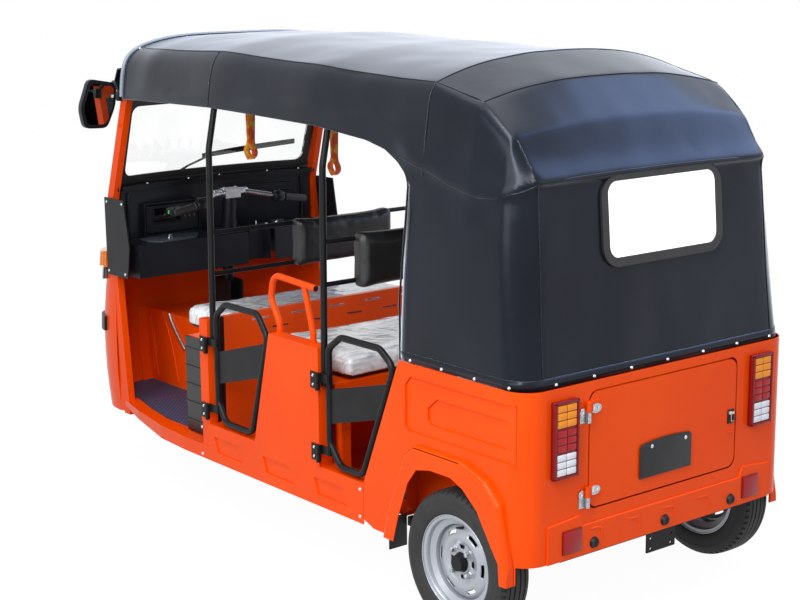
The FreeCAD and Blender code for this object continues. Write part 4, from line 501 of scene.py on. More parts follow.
def eased(table, y, column):
    # value of one column at a station, on a smooth curve through the rows
    last = len(table) - 1
    index = max(i for i in range(last) if y >= table[i][0] or i == 0)
    low, high = table[index], table[index + 1]
    span = high[0] - low[0]
    share = min(max((y - low[0]) / span, 0), 1)
    before, after = table[max(index - 1, 0)], table[min(index + 2, last)]
    slopeLow = (high[column] - before[column]) / (high[0] - before[0]) * span
    slopeHigh = (after[column] - low[column]) / (after[0] - low[0]) * span
    t2, t3 = share ** 2, share ** 3
    return ((2 * t3 - 3 * t2 + 1) * low[column] + (t3 - 2 * t2 + share) * slopeLow
            + (3 * t2 - 2 * t3) * high[column] + (t3 - t2) * slopeHigh)


def canopyStation(y):
    # crown height, seam height, seam half width, half width at the hem and place along the hem at one station
    kink = canopyForm["kink"]
    if y <= kink:
        crown, seamZ, seamX, lowX = (eased(canopyForm["roof"], y, column) for column in (1, 2, 3, 4))
        front = canopyForm["curtainFront"][0]
        way = 80 * (y - front) / (kink - front)
    else:
        crown, seamZ, seamX, way = (along(canopyForm["tail"], y, column) for column in (1, 2, 3, 4))
        lowX = canopyForm["hemHalf"]
    return crown, seamZ, seamX, lowX, way


def rollAt(y):
    # how far the cloth rolls over beside the seam, how softly, and how square the roof is there
    if y <= canopyForm["kink"]:
        return [eased(canopyForm["roof"], y, column) for column in (5, 6, 7)]
    return canopyForm["tailRoll"]


def hemPoint(y):
    # where the column that starts at one station reaches the hem, and which way it faces there
    lowX, way = canopyStation(y)[3:]
    if y < canopyForm["curtainFront"][0]:
        return lowX, y, 0.0
    radius = canopyForm["hemCorner"]
    straight = canopyForm["hemRear"] - radius - canopyForm["curtainFront"][1]
    if way <= straight:
        return lowX, canopyForm["curtainFront"][1] + way, 0.0
    turn = (way - straight) / radius
    x = canopyForm["hemHalf"] - radius + radius * math.cos(turn)
    return x, canopyForm["hemRear"] - radius + radius * math.sin(turn), turn


def sidePoint(y, z):
    # a point of the side: it rolls over under the seam, then runs down to where its column meets the hem
    seamZ, seamX = canopyStation(y)[1:3]
    hemX, hemY, turn = hemPoint(y)
    drop = max(seamZ - z, 0)
    share = min(drop / (seamZ - canopyForm["hem"]), 1)
    facing = math.cos(turn)
    full, soft = rollAt(y)[:2]
    roll = full * (1 - math.exp(-drop / soft)) * facing
    wide = (1 - (1 - share) ** 2.6) * facing + share * (1 - facing)
    x = seamX + roll + (hemX - seamX - full * facing) * wide
    return x, y + (hemY - y) * (share ** 1.5 * facing + share * (1 - facing)), z


def roofPoint(y, across):
    # a point of the roof, across from -1 to 1 between the seams
    crown, seamZ, seamX = canopyStation(y)[:3]
    return across * seamX, y, seamZ + (crown - seamZ) * (1 - abs(across) ** rollAt(y)[2])


def rearPoint(across, z):
    # a point of the rear curtain, with the roof's own curve along its upper edge
    crownZ, seamZ = canopyForm["tail"][-1][1:3]
    x, y, z = sidePoint(canopyForm["tail"][-1][0], z)
    lift = max(0, 1 - (seamZ - z) / 40)
    return across * x, y, z + (crownZ - seamZ) * (1 - abs(across) ** 2.4) * lift


def patch(bm, columns, rows, spot):
    # one grid of the cloth; spot(column, row) gives a point in millimetres
    made = bmesh.ops.create_grid(bm, x_segments=columns, y_segments=rows, size=1)["verts"]
    for vert in made:
        column = round((vert.co.x + 1) / 2 * columns)
        row = round((vert.co.y + 1) / 2 * rows)
        vert.co = mm(*spot(column, row))


def canopyStations():
    # columns close up beside each crease, so that it folds in a narrow line
    rear = canopyForm["tail"]
    front = canopyForm["curtainFront"][0]
    start = canopyForm["front"]
    roof = [start + (front - start) * i / 64 for i in range(65)]
    tail = [-236, -214, -198]
    for low, high in zip(rear, rear[1:]):
        tail += [low[0]] + [low[0] + (high[0] - low[0]) * share
                            for share in (0.05, 0.14, 0.28, 0.43, 0.57, 0.72, 0.86, 0.95)]
    return roof, [roof[-1]] + tail + [rear[-1][0]]


def canopySheet():
    roof, tail = canopyStations()
    stations = roof + tail[1:]
    half = canopyForm["across"]
    upper, lower = canopyForm["upperRows"], canopyForm["curtainRows"]
    bm = bmesh.new()
    patch(bm, len(stations) - 1, half, lambda i, j: roofPoint(stations[i], j / half * 2 - 1))

    def bottomOf(y):
        if y <= tail[0]:
            return along(canopyForm["sideEdge"], y, 1)
        share = (y - tail[0]) / (tail[-1] - tail[0])
        return canopyForm["join"][0] + (canopyForm["join"][1] - canopyForm["join"][0]) * share

    def heightOf(y, row):
        # rows close up under the seam, where the cloth rolls over
        top, bottom = canopyStation(y)[1], bottomOf(y)
        return top + (bottom - top) * (row / upper) ** 1.6

    for side in (1, -1):
        def upperSpot(i, j):
            x, y, z = sidePoint(stations[i], heightOf(stations[i], j))
            return side * x, y, z

        def curtainSpot(i, j):
            top = bottomOf(tail[i])
            x, y, z = sidePoint(tail[i], top + (canopyForm["hem"] - top) * j / lower)
            return side * x, y, z

        patch(bm, len(stations) - 1, upper, upperSpot)
        patch(bm, len(tail) - 1, lower, curtainSpot)
    end = tail[-1]
    patch(bm, half, upper, lambda i, j: rearPoint(i / half * 2 - 1, heightOf(end, j)))
    patch(bm, half, lower, lambda i, j: rearPoint(
        i / half * 2 - 1, bottomOf(end) + (canopyForm["hem"] - bottomOf(end)) * j / lower))
    bmesh.ops.remove_doubles(bm, verts=bm.verts, dist=0.0004)
    bmesh.ops.recalc_face_normals(bm, faces=bm.faces)
    top = max(bm.faces, key=lambda face: face.calc_center_median().z)
    if top.normal.z < 0:
        bmesh.ops.reverse_faces(bm, faces=bm.faces)
    return bm


def cutWindow(bm):
    # hole behind the window's rubber: four straight sides and four cut corners
    middle, half, low, high, corner = canopyForm["window"]
    rear = mm(0, 200, 0).y
    centreZ = (low + high) / 2
    sides = [(half, 0, 1, 0), (half, 0, -1, 0), (0, (high - low) / 2, 0, 1), (0, (high - low) / 2, 0, -1)]
    planes = []
    for x, z, wayX, wayZ in sides:
        planes.append((mm(middle + x * wayX, 0, centreZ + z * wayZ), (wayX, 0, wayZ)))
    for wayX in (1, -1):
        for wayZ in (1, -1):
            x, z = half - corner * 0.35, (high - low) / 2 - corner * 0.35
            planes.append((mm(middle + x * wayX, 0, centreZ + z * wayZ), (wayX, 0, wayZ)))
    for at, way in planes:
        near = [face for face in bm.faces if face.calc_center_median().y > rear]
        around = {edge for face in near for edge in face.edges} | {vert for face in near for vert in face.verts}
        bmesh.ops.bisect_plane(bm, geom=near + list(around), dist=1e-5, plane_co=at, plane_no=way)
    inside = []
    for face in bm.faces:
        centre = face.calc_center_median()
        if centre.y > rear and all((centre - at).dot(Vector(way)) < 0 for at, way in planes):
            inside.append(face)
    bmesh.ops.delete(bm, geom=inside, context="FACES")


def foldsAt(co):
    # how far the cloth stands off its plain form, in metres: sag between the bows and soft pulls near the corners
    y = (co.y - axleY) * 1000
    z = co.z * 1000
    lift = 0.0
    if z > 1700 and y < canopyForm["kink"]:
        lift -= 0.006 * min(min(abs(y - bow) for bow in canopyForm["bows"]) / 200, 1)
    corner = math.exp(-((abs(co.x) - 0.56) / 0.12) ** 2) * math.exp(-((y - 60) / 220) ** 2) * (z > 1380)
    lift += 0.006 * corner * noise.noise(Vector((co.x * 9, co.y * 9, co.z * 14)))
    curtain = min(max((1700 - z) / 300, 0), 1)
    lift += 0.0035 * curtain * noise.noise(Vector((co.x * 5, co.y * 5, co.z * 1.6)))
    lift += 0.0022 * noise.noise(Vector((co.x * 8, co.y * 6, co.z * 4)))
    if y > -298 and z < 1700:
        above = z - along(canopyForm["lip"], y, 1)
        lift += canopyForm["lipOut"] * math.exp(-(above / (50 if above > 0 else 8)) ** 2)
    return lift


def canopy():
    bm = canopySheet()
    cutWindow(bm)
    bm.normal_update()
    inner = [vert for vert in bm.verts if not vert.is_boundary]
    moves = [vert.normal * foldsAt(vert.co) for vert in inner]
    for vert, move in zip(inner, moves):
        vert.co += move
    for again in range(canopyForm["smoothing"]):
        bmesh.ops.smooth_vert(bm, verts=inner, factor=0.5, use_axis_x=True, use_axis_y=True, use_axis_z=True)
    area = sum(face.calc_area() for face in bm.faces)
    obj = finishPiece("canopy_sheet", bm, canvas, smooth=60, stand=["canopy"])
    thickened(obj, canopyForm["thick"], -1)
    print("canopy", round(area, 2), "square metres")
    return surfaceOf(obj)


# canopy: welts, piping, apron, binding, hem band and studs, all laid on the finished sheet

weltForm = {
    # radii in millimetres, but the lip's in metres
    "radius": 2.3, "bindRadius": 3.6, "proud": 0.6, "lipRadius": 0.0042,
    "panel": (-1494, 1870), "crossStations": (-190, 30),
    "hemBand": (30, 1.6), "hemGap": 3,
    "sideStuds": (-241, -80, 83, 242), "rearStuds": (500, 329, 157, -19, -196, -373, -548), "studZ": 897,
    "frontStuds": (-520, -270, 0, 270, 520), "studRadius": 6.5,
}


def surfaceOf(obj):
    tree = bmesh.new()
    tree.from_mesh(obj.data)
    found = bvhtree.BVHTree.FromBMesh(tree)
    tree.free()
    return found


def laidOn(surface, points, proud):
    # moves a path of millimetre points onto the cloth and lets it stand a little proud, outwards from the middle
    path = []
    for point in points:
        near, normal = surface.find_nearest(mm(*point))[:2]
        middle = Vector((0, near.y * 0.9 - 0.05, 1.2))
        if normal.dot(near - middle) < 0:
            normal = -normal
        path.append(near + normal * proud)
    return path


def spread(points, step):
    # extra points along straight runs, no further apart than one step
    path = [points[0]]
    for low, high in zip(points, points[1:]):
        count = max(1, int(math.dist(low, high) / step))
        for index in range(1, count + 1):
            share = index / count
            path.append(tuple(a + (b - a) * share for a, b in zip(low, high)))
    return path


def canopyWelts(surface):
    proud, radius = weltForm["proud"] / 1000, weltForm["radius"] / 1000
    lipRadius = weltForm["lipRadius"]
    end = canopyForm["tail"][-1][0]
    halves = [i / 30 * 2 - 1 for i in range(31)]
    bm = bmesh.new()

    def welt(points, radius, resolution=2):
        addWire(bm, laidOn(surface, points, proud), radius, resolution)

    for side in (1, -1):
        # along the seam of roof and side flap, from the visor to the lip
        stations = [-2190 + 60 * i for i in range(34)] + [-190, -130, -60, 30, 90, 163, 210, end]
        welt([(side * canopyStation(y)[2], y, canopyStation(y)[1]) for y in stations], radius)
        # down the tail's corner, down the line of the rear bow and of the middle one, and along the cap's edge
        welt(onSide(side, [sidePoint(end, z) for z in range(1530, 892, -30)]), radius)
        welt(onSide(side, [sidePoint(canopyForm["kink"], z) for z in range(1840, 1500, -20)]), radius)
        station, top = weltForm["panel"]
        low = along(canopyForm["sideEdge"], station, 1)
        welt(onSide(side, [sidePoint(station, top - (top - low) * i / 12) for i in range(13)]), radius)
        welt(onSide(side, [sidePoint(y, along(canopyForm["lip"], y, 1)) for y in range(-290, 252, 20)]), lipRadius)
    for station in weltForm["crossStations"]:
        welt([roofPoint(station, h) for h in halves], radius)
    welt([rearPoint(h, 1531) for h in halves], lipRadius, 3)
    finishPiece("canopy_welts", bm, canvasEdge, smooth=70)


def canopyFront():
    # pale piping round the front hoop, with a dark bead behind it
    front = canopyForm["front"]
    hoop = [sidePoint(front, z) for z in range(1652, 1856, 12)]
    hoop += [roofPoint(front, 1 - i / 20) for i in range(21)]
    for name, finish, back, radius, out in (("canopy_front_piping", piping, -2, 0.0075, 4),
                                            ("canopy_front_bead", canvasEdge, 16, 0.0045, 1)):
        bm = bmesh.new()
        path = [(x + out, y + back, z + out) for x, y, z in hoop]
        addWire(bm, placed(path + onSide(-1, path[-2::-1])), radius, 3)
        finishPiece(name, bm, finish, smooth=60)

    # apron that closes the front between the hoop and the visor over the windscreen
    low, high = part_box("roof_visor")
    footY, footZ = (low[1] + high[1]) / 2, low[2] + 0.012
    edge = placed(hoop[3:])
    edge += [Vector((-point.x, point.y, point.z)) for point in edge[-2::-1]]
    bm = bmesh.new()
    rows = []
    for point in edge:
        row = []
        for step in range(9):
            share = step / 8
            row.append(bm.verts.new((point.x * (1 - 0.06 * share), point.y + (footY - point.y) * share ** 1.4,
                                     max(point.z + (footZ - point.z) * share, footZ))))
        rows.append(row)
    for near, far in zip(rows, rows[1:]):
        for corners in zip(near, far, far[1:], near[1:]):
            bm.faces.new(corners)
    bmesh.ops.remove_doubles(bm, verts=bm.verts, dist=0.0004)
    bmesh.ops.dissolve_degenerate(bm, dist=0.0002, edges=bm.edges)
    bmesh.ops.recalc_face_normals(bm, faces=bm.faces)
    area = sum(face.calc_area() for face in bm.faces)
    apron = thickened(finishPiece("canopy_front_apron", bm, canvas, smooth=60), canopyForm["thick"])


def canopyEdges(surface):
    # cloth binding round the edge of each side opening
    bm = bmesh.new()
    front, frontLow = canopyForm["curtainFront"]
    for side in (1, -1):
        edge = [sidePoint(y, z) for y, z in canopyForm["sideEdge"]]
        edge += [(642, front - 2, 1380), (642, frontLow, 1100), (641, frontLow, canopyForm["hem"] + 2)]
        addWire(bm, placed(spread(onSide(side, edge), 24)), weltForm["bindRadius"] / 1000, 3)
    finishPiece("canopy_binding", bm, canvasEdge, smooth=70)

    # doubled band of cloth along the hem
    wide, thick = weltForm["hemBand"]
    low = canopyForm["hem"] + weltForm["hemGap"]
    line = [hemPoint(y)[:2] for y in canopyStations()[1]]
    endX, endY = line[-1]
    full = line + [(endX * (1 - i / 15), endY) for i in range(1, 30)] + [(-x, y) for x, y in line[::-1]]
    rows = [laidOn(surface, [(x, y, low + wide * k / 2) for x, y in full], thick / 1000) for k in range(3)]
    bm = bmesh.new()
    bmesh.ops.create_grid(bm, x_segments=len(full) - 1, y_segments=2, size=1)
    for vert in bm.verts:
        column = round((vert.co.x + 1) / 2 * (len(full) - 1))
        vert.co = rows[round(vert.co.y + 1)][column]
    bm.normal_update()
    band = thickened(finishPiece("canopy_hem_band", bm, canvasEdge, smooth=50), thick / 1000)

    # domed snap studs on the hem and along the visor
    bm = bmesh.new()
    r, z = weltForm["studRadius"] / 1000, weltForm["studZ"]
    dome = [(0, -0.001), (r, -0.001), (r, 0.0012), (r * 0.75, 0.0042), (r * 0.35, 0.0055), (0, 0.0057)]
    onBand = thick / 1000 + 0.0008
    studs = [((side * 643, y, z), (side, 0, 0), onBand) for side in (1, -1) for y in weltForm["sideStuds"]]
    studs += [((x, 308, z), (0, 1, 0), onBand) for x in weltForm["rearStuds"]]
    studs += [((x, -2190, 1890), (0, -0.3, 1), 0.0006) for x in weltForm["frontStuds"]]
    for place, way, proud in studs:
        turned(bm, dome, laidOn(surface, [place], proud)[0], way, 14)
    finishPiece("canopy_studs", bm, chrome, smooth=50)


clothSurface = canopy()
canopyWelts(clothSurface)
canopyFront()
canopyEdges(clothSurface)
print("canopy trim")


# wheels

wheelForm = {
    "steps": 120, "notch": 3.2,
    # tyre section: station across the wheel and radius; the other half mirrors it
    "tyre": [(46, 158), (51.5, 160), (52.5, 168), (57, 171), (60, 176), (63.5, 190), (65, 206), (64.6, 214),
             (65.4, 216), (65.4, 219), (64.2, 221), (62.5, 230), (59.5, 236), (52, 243), (46, 246.4), (38, 248.6),
             (34.5, 248.8), (33.5, 243.5), (30, 243.5), (29, 249.2), (14, 249.8), (13, 244), (9.5, 244), (8.5, 249.9)],
    "barrel": [(-57, 164), (-55.5, 166), (-53, 165), (-51.5, 160), (-50, 154), (-47, 152), (-35, 150.5), (-25, 131),
               (-10, 129), (8, 129), (24, 131), (34, 150.5), (46, 152), (49.5, 154), (51, 160), (52.5, 165), (55, 166),
               (57, 164)],
    "disc": [(6, 129.5), (13, 122), (18, 115), (20.5, 110.5), (23.5, 98.5), (26, 93), (27.5, 86), (27, 80), (22, 72),
             (19, 66), (18, 59), (18, 45), (19, 40), (23, 37.5), (24, 33.5)],
    # inner and outer radius of a ring of holes, how many, and their width in steps
    "discSteps": 72, "slots": (97, 112, 6, 5), "holes": (45, 60, 4, 5), "sheet": 3.4,
    "lugs": 4, "lugRadius": 52,
}


def spunSheet(bm, profile, steps):
    # spins an open profile of (station, radius) round the wheel's axis
    verts = [bm.verts.new((station / 1000, 0, radius / 1000)) for station, radius in profile]
    edges = [bm.edges.new(pair) for pair in zip(verts, verts[1:])]
    bmesh.ops.spin(bm, geom=verts + edges, cent=(0, 0, 0), axis=(1, 0, 0), angle=2 * math.pi, steps=steps,
                   use_merge=True, use_duplicate=False)
    bmesh.ops.remove_doubles(bm, verts=bm.verts, dist=1e-6)


def tyre(name, body, node, centre):
    half = wheelForm["tyre"]
    section = half + [(-x, r) for x, r in half[::-1]]
    steps = wheelForm["steps"]
    bm = bmesh.new()
    spunSheet(bm, section + section[:1], steps)
    bmesh.ops.recalc_face_normals(bm, faces=bm.faces)
    picks = []
    for face in bm.faces:
        spot = face.calc_center_median()
        turn = math.atan2(spot.z, spot.y) / (2 * math.pi) * steps
        side = spot.x > 0
        across = abs(spot.x) * 1000
        if 45 < across < 60 and math.hypot(spot.y, spot.z) > 0.232 and int(turn + 1000.5 + side) % 2 == 0:
            picks.append(face)
    sunk = bmesh.ops.extrude_discrete_faces(bm, faces=picks)["faces"]
    for face in sunk:
        middle = face.calc_center_median()
        for vert in face.verts:
            vert.co += (middle - vert.co) * 0.3 - face.normal * wheelForm["notch"] / 1000
    bmesh.ops.translate(bm, vec=centre, verts=bm.verts)
    finishPiece(name, bm, rubber, body, smooth=32, stand=[node])


def rim(name, body, node, centre, outward):
    bm = bmesh.new()
    steps = wheelForm["discSteps"]
    spunSheet(bm, wheelForm["disc"], steps)
    gone = []
    for face in bm.faces:
        spot = face.calc_center_median()
        radius = math.hypot(spot.y, spot.z) * 1000
        turn = math.atan2(spot.z, spot.y) / (2 * math.pi) * steps % steps
        for low, high, count, wide in (wheelForm["slots"], wheelForm["holes"]):
            pitch = steps / count
            if low < radius < high and (turn + wide / 2) % pitch < wide:
                gone.append(face)
    bmesh.ops.delete(bm, geom=gone, context="FACES")
    other = bmesh.new()
    spunSheet(other, wheelForm["barrel"], steps)
    bmesh.ops.recalc_face_normals(other, faces=other.faces)
    held = bpy.data.meshes.new("barrel")
    other.to_mesh(held)
    other.free()
    bm.from_mesh(held)
    bpy.data.meshes.remove(held)
    if outward < 0:
        bmesh.ops.scale(bm, vec=(-1, 1, 1), verts=bm.verts)
    bmesh.ops.recalc_face_normals(bm, faces=bm.faces)
    bmesh.ops.translate(bm, vec=centre, verts=bm.verts)
    obj = finishPiece(name, bm, rimPaint, body, smooth=28, stand=[node])
    thickened(obj, wheelForm["sheet"] / 1000)


def lugs(name, body, centre, outward):
    # four pressed bosses, each with its domed nut
    bm = bmesh.new()
    reach = wheelForm["lugRadius"] / 1000
    nut = [(0, 0), (0.0135, 0), (0.0125, 0.003), (0.0105, 0.0045), (0.0105, 0.0165), (0.0085, 0.021), (0.004, 0.0235),
           (0, 0.024)]
    for index in range(wheelForm["lugs"]):
        angle = 2 * math.pi * (index + 0.5) / wheelForm["lugs"]
        place = centre + Vector((outward * 0.0195, reach * math.cos(angle), reach * math.sin(angle)))
        turned(bm, nut, place, (outward, 0, 0), 6)
    finishPiece(name, bm, zinc, body, smooth=30)


def valve(name, body, centre, outward):
    bm = bmesh.new()
    stem = [(0, -0.012), (0.0055, -0.012), (0.005, 0.012), (0.004, 0.013), (0.004, 0.022), (0, 0.0225)]
    turned(bm, stem, centre + Vector((outward * 0.024, 0.0, 0.119)), (outward, 0, 0.25), 12)
    finishPiece(name, bm, seal, body)


for name, outward in (("rear_left", 1), ("rear_right", -1), ("front", 1)):
    body = "wheel_" + name
    low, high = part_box("tyre_" + name)
    centre = (Vector(low) + Vector(high)) / 2
    tyre("treaded_tyre_" + name, body, "tyre_" + name, centre)
    rim("slotted_rim_" + name, body, "rim_" + name, centre, outward)
    lugs("lug_nuts_" + name, body, centre, outward)
    valve("tyre_valve_" + name, body, centre, outward)
print("wheels")


# tail: lamps, reflectors, plate, latch, hinges and marks

tailForm = {
    "lamp": (426, 536, 592, 850), "lampFace": 344, "wall": 322,
    # low and high edge of each lens, prisms across and up, material
    "lenses": [(762, 838, 2, 3, 1), (682, 756, 2, 3, 2), (604, 676, 2, 3, 3)], "lensSides": (438, 524),
    "reflector": (400, 486, 332, 412),
    "plate": [(-127, 512), (127, 512), (127, 618), (118, 630), (60, 637), (0, 640), (-60, 638), (-118, 634),
              (-127, 624)],
    "marks": [(356, 304, 394, 354), (180, 128, 388, 346), (10, -46, 388, 348), (-166, -222, 386, 348)],
    "leafLevels": (522, 797), "platePads": (-104, 88), "plateScrews": ((-96, 617), (71, 618)),
    # boxes of the latch: low corner, high corner, radius in metres, material; then its button
    "latch": [((-352, 322, 621), (-318, 326, 671), 0.0018, 0), ((-347, 325, 628), (-330, 331, 664), 0.0025, 1),
              ((-345, 330, 631), (-332, 334, 655), 0.0018, 0)],
    "button": [(0, 0), (0.0065, 0), (0.0065, 0.005), (0.004, 0.0058), (0, 0.0058)], "buttonAt": (-324.5, 326, 661),
    "striker": [(-316, 323.2, 592), (-326, 324.6, 590), (-343, 324.6, 589), (-354, 323.2, 588)],
    "plug": [(0, 0), (0.0195, 0), (0.019, 0.003), (0.0155, 0.0088), (0.011, 0.0085), (0.008, 0.0065), (0, 0.0065)],
    "plugs": (-340, 0, 340),
}


def pressed(bm, points, push, soften, segments=2, material=0):
    # a plate: a polygon in metres pushed one way, with its far rim softened
    verts = [bm.verts.new(point) for point in points]
    top, moved = pushed(bm, bm.faces.new(verts), Vector(push))
    shell = {item for vert in verts + moved for item in vert.link_faces}
    if soften:
        made = softened(bm, list({edge for item in top for edge in item.edges}), soften, segments)
        shell = {item for item in shell if item.is_valid} | set(made)
    grown = connected(shell)
    bmesh.ops.recalc_face_normals(bm, faces=list(grown))
    for item in grown:
        item.material_index = material


def rearPoints(points, y):
    return [mm(x, y, z) for x, z in points]


def screws(name, spots, radius, height, finish=chrome, body="chassis", steps=16):
    # pan head screws, each hollow in the middle; each spot is (place in millimetres, way)
    bm = bmesh.new()
    r, h = radius / 1000, height / 1000
    dome = [(0, -0.001), (r, -0.001), (r, h * 0.35), (r * 0.8, h * 0.8), (r * 0.45, h), (r * 0.32, h * 0.7),
            (0, h * 0.7)]
    for place, way in spots:
        turned(bm, dome, mm(*place), way, steps)
    finishPiece(name, bm, finish, body)


def tailLamps():
    low, high, foot, head = tailForm["lamp"]
    face, wall = tailForm["lampFace"], tailForm["wall"]
    bm = bmesh.new()
    for side in (1, -1):
        left, right = sorted((side * low, side * high))
        roundBox(bm, mm(left, wall, foot), mm(right, face - 5, head), 0.005, 3)
        # raised frame of the lens: its two rails and its two sides
        for rail in (foot + 1, head - 11):
            roundBox(bm, mm(left + 1, wall, rail), mm(right - 1, face, rail + 10), 0.003)
        for post in (left + 1, right - 11):
            roundBox(bm, mm(post, wall, foot + 1), mm(post + 10, face, head - 1), 0.003)
        left, right = sorted(side * x for x in tailForm["lensSides"])
        for z0, z1, across, up, which in tailForm["lenses"]:
            wide, tall = (right - left) / across, (z1 - z0) / up
            for i in range(across):
                for j in range(up):
                    x, z = left + i * wide + 1.2, z0 + j * tall + 1.2
                    roundBox(bm, mm(x, face - 8, z), mm(x + wide - 2.4, face - 1.5, z + tall - 2.4), 0.0025,
                             material=which)
        inner, outer, markFoot, markHead = tailForm["reflector"]
        left, right = sorted((side * inner, side * outer))
        roundBox(bm, mm(left, 329, markFoot), mm(right, 335, markHead), 0.0025)
        roundBox(bm, mm(left + 4, 333, markFoot + 4), mm(right - 4, 337, markHead - 4), 0.0018, material=4)
    finishPiece("tail_lamp_clusters", bm, [lampFrame, amberLens, redPrism, clearLens, redPrism], stand=["tail_lamps"])


def plateAndLatch():
    bm = bmesh.new()
    pressed(bm, rearPoints(tailForm["plate"], 326), (0, 0.0026, 0), 0.0009)
    inner = [(x * 0.955, 575 + (z - 575) * 0.92) for x, z in tailForm["plate"]]
    pressed(bm, rearPoints(inner, 328.4), (0, 0.0009, 0), 0.0004)
    for x in tailForm["platePads"]:
        roundBox(bm, mm(x, 322, 604), mm(x + 16, 327, 620), 0.001)
    finishPiece("blank_number_plate", bm, plateEnamel, "trunk_door", stand=["number_plate"])
    spots = [((x, 329, z), (0, 1, 0)) for x, z in tailForm["plateScrews"]]
    screws("plate_screws", spots, 7, 3.4, chrome, "trunk_door")
    bm = bmesh.new()
    for low, high, radius, which in tailForm["latch"]:
        roundBox(bm, mm(*low), mm(*high), radius, material=which)
    turned(bm, tailForm["button"], mm(*tailForm["buttonAt"]), (0, 1, 0), 16, material=1)
    finishPiece("trunk_latch_handle", bm, [plastic, chrome], "trunk_door", stand=["trunk_latch"])
    bm = bmesh.new()
    addWire(bm, placed(tailForm["striker"]), 0.0028, 3)
    finishPiece("trunk_striker_mark", bm, paint, "trunk_door", smooth=60)


def ovalLeaf(bm, x, z, wide, tall, y, thick):
    ring = bmesh.ops.create_circle(bm, cap_ends=True, segments=28, radius=1)["verts"]
    for vert in ring:
        vert.co = mm(x + vert.co.x * wide, y, z + vert.co.y * tall)
    top = pushed(bm, ring[0].link_faces[0], (0, thick / 1000, 0))[0]
    softened(bm, [edge for item in top for edge in item.edges], thick * 0.4 / 1000)


def hingeLeaves():
    # name, body, place and half width, face it lies on, how much lower it stands, screws
    for name, body, x, wide, base, drop, steps in (("hinge_leaf_door", "trunk_door", 338, 25, 326.1, 0, (-10, 10)),
                                                   ("hinge_leaf_body", "chassis", 396, 15, 325.1, 7, (2,))):
        bm = bmesh.new()
        levels = [z - drop for z in tailForm["leafLevels"]]
        for level in levels:
            ovalLeaf(bm, x, level, wide, 16, base, 2.4)
        bmesh.ops.recalc_face_normals(bm, faces=bm.faces)
        finishPiece(name, bm, zinc, body)
        spots = [((x + step, base + 2.3, level), (0, 1, 0)) for level in levels for step in steps]
        screws(name + "_screws", spots, 5.5, 3, chrome, body)


def bandMarks():
    # short pressed ribs on the lower band, and its round plugs
    bm = bmesh.new()
    for right, left, high, low in tailForm["marks"]:
        addWire(bm, rearPoints([(right, high), (left + 8, high - 1), (left, high - 10), (left, low)], 329.2), 0.0032, 3)
    finishPiece("band_ribs", bm, paint, smooth=60)
    bm = bmesh.new()
    for x in tailForm["plugs"]:
        turned(bm, tailForm["plug"], mm(x, 329, 344), (0, 1, 0))
    finishPiece("band_plugs", bm, plastic, stand=["rear_plugs"])

tailLamps()
plateAndLatch()
hingeLeaves()
bandMarks()
print("tail")


# mirrors

mirrorForm = {
    "corners": [(498, 1698), (630, 1722), (676, 1600), (660, 1512), (552, 1508), (508, 1600)],
    "centre": (588, 1612), "face": -2401.6,
    "arm": [(541, -2300, 1652), (534, -2330, 1686), (524, -2376, 1706), (512, -2412, 1702), (520, -2424, 1676)],
    # name, share of the outline, station, thickness in metres, material
    "layers": [("mirror_glass", 0.84, 1.2, 0.0008, mirrorSilver), ("mirror_bezels", 0.93, -2, 0.0026, plastic)],
}


def mirrorGlass():
    cx, cz = mirrorForm["centre"]
    for name, share, ahead, thick, finish in mirrorForm["layers"]:
        bm = bmesh.new()
        for side in (1, -1):
            shape = [((cx + (x - cx) * share) * side, cz + (z - cz) * share) for x, z in mirrorForm["corners"]]
            verts = [bm.verts.new(point) for point in rearPoints(shape, mirrorForm["face"] + ahead)]
            bm.faces.new(verts)
            softened(bm, verts, 0.024 * share, 5, "VERTICES")
            here = [face for face in bm.faces if face.calc_center_median().x * side > 0 and len(face.verts) > 8]
            pushed(bm, max(here, key=lambda face: face.calc_area()), (0, thick, 0))
        bmesh.ops.recalc_face_normals(bm, faces=bm.faces)
        finishPiece(name, bm, finish)


def rounded(points, cut, steps=4):
    # corners of a flat outline replaced by short curves
    path = []
    for index, point in enumerate(points):
        before, after = Vector(points[index - 1]), Vector(points[(index + 1) % len(points)])
        here = Vector(point)
        start = here + (before - here).normalized() * cut
        stop = here + (after - here).normalized() * cut
        for step in range(steps + 1):
            share = step / steps
            path.append(start * (1 - share) ** 2 + here * 2 * share * (1 - share) + stop * share ** 2)
    return path


def mirrorHousings():
    bm = bmesh.new()
    for side in (1, -1):
        outline = [(point.x * side, point.y) for point in rounded(mirrorForm["corners"], 26)]
        pressed(bm, rearPoints(outline, -2402), (0, -0.036, 0), 0.012, 3)
        addWire(bm, placed(onSide(side, mirrorForm["arm"])), 0.0075)
        roundBox(bm, mm(side * 541 - 14, -2316, 1630), mm(side * 541 + 14, -2288, 1672), 0.004)
    finishPiece("mirror_housings", bm, plastic, stand=["mirrors"])

mirrorHousings()
mirrorGlass()
print("mirrors")


# dashboard and handlebar

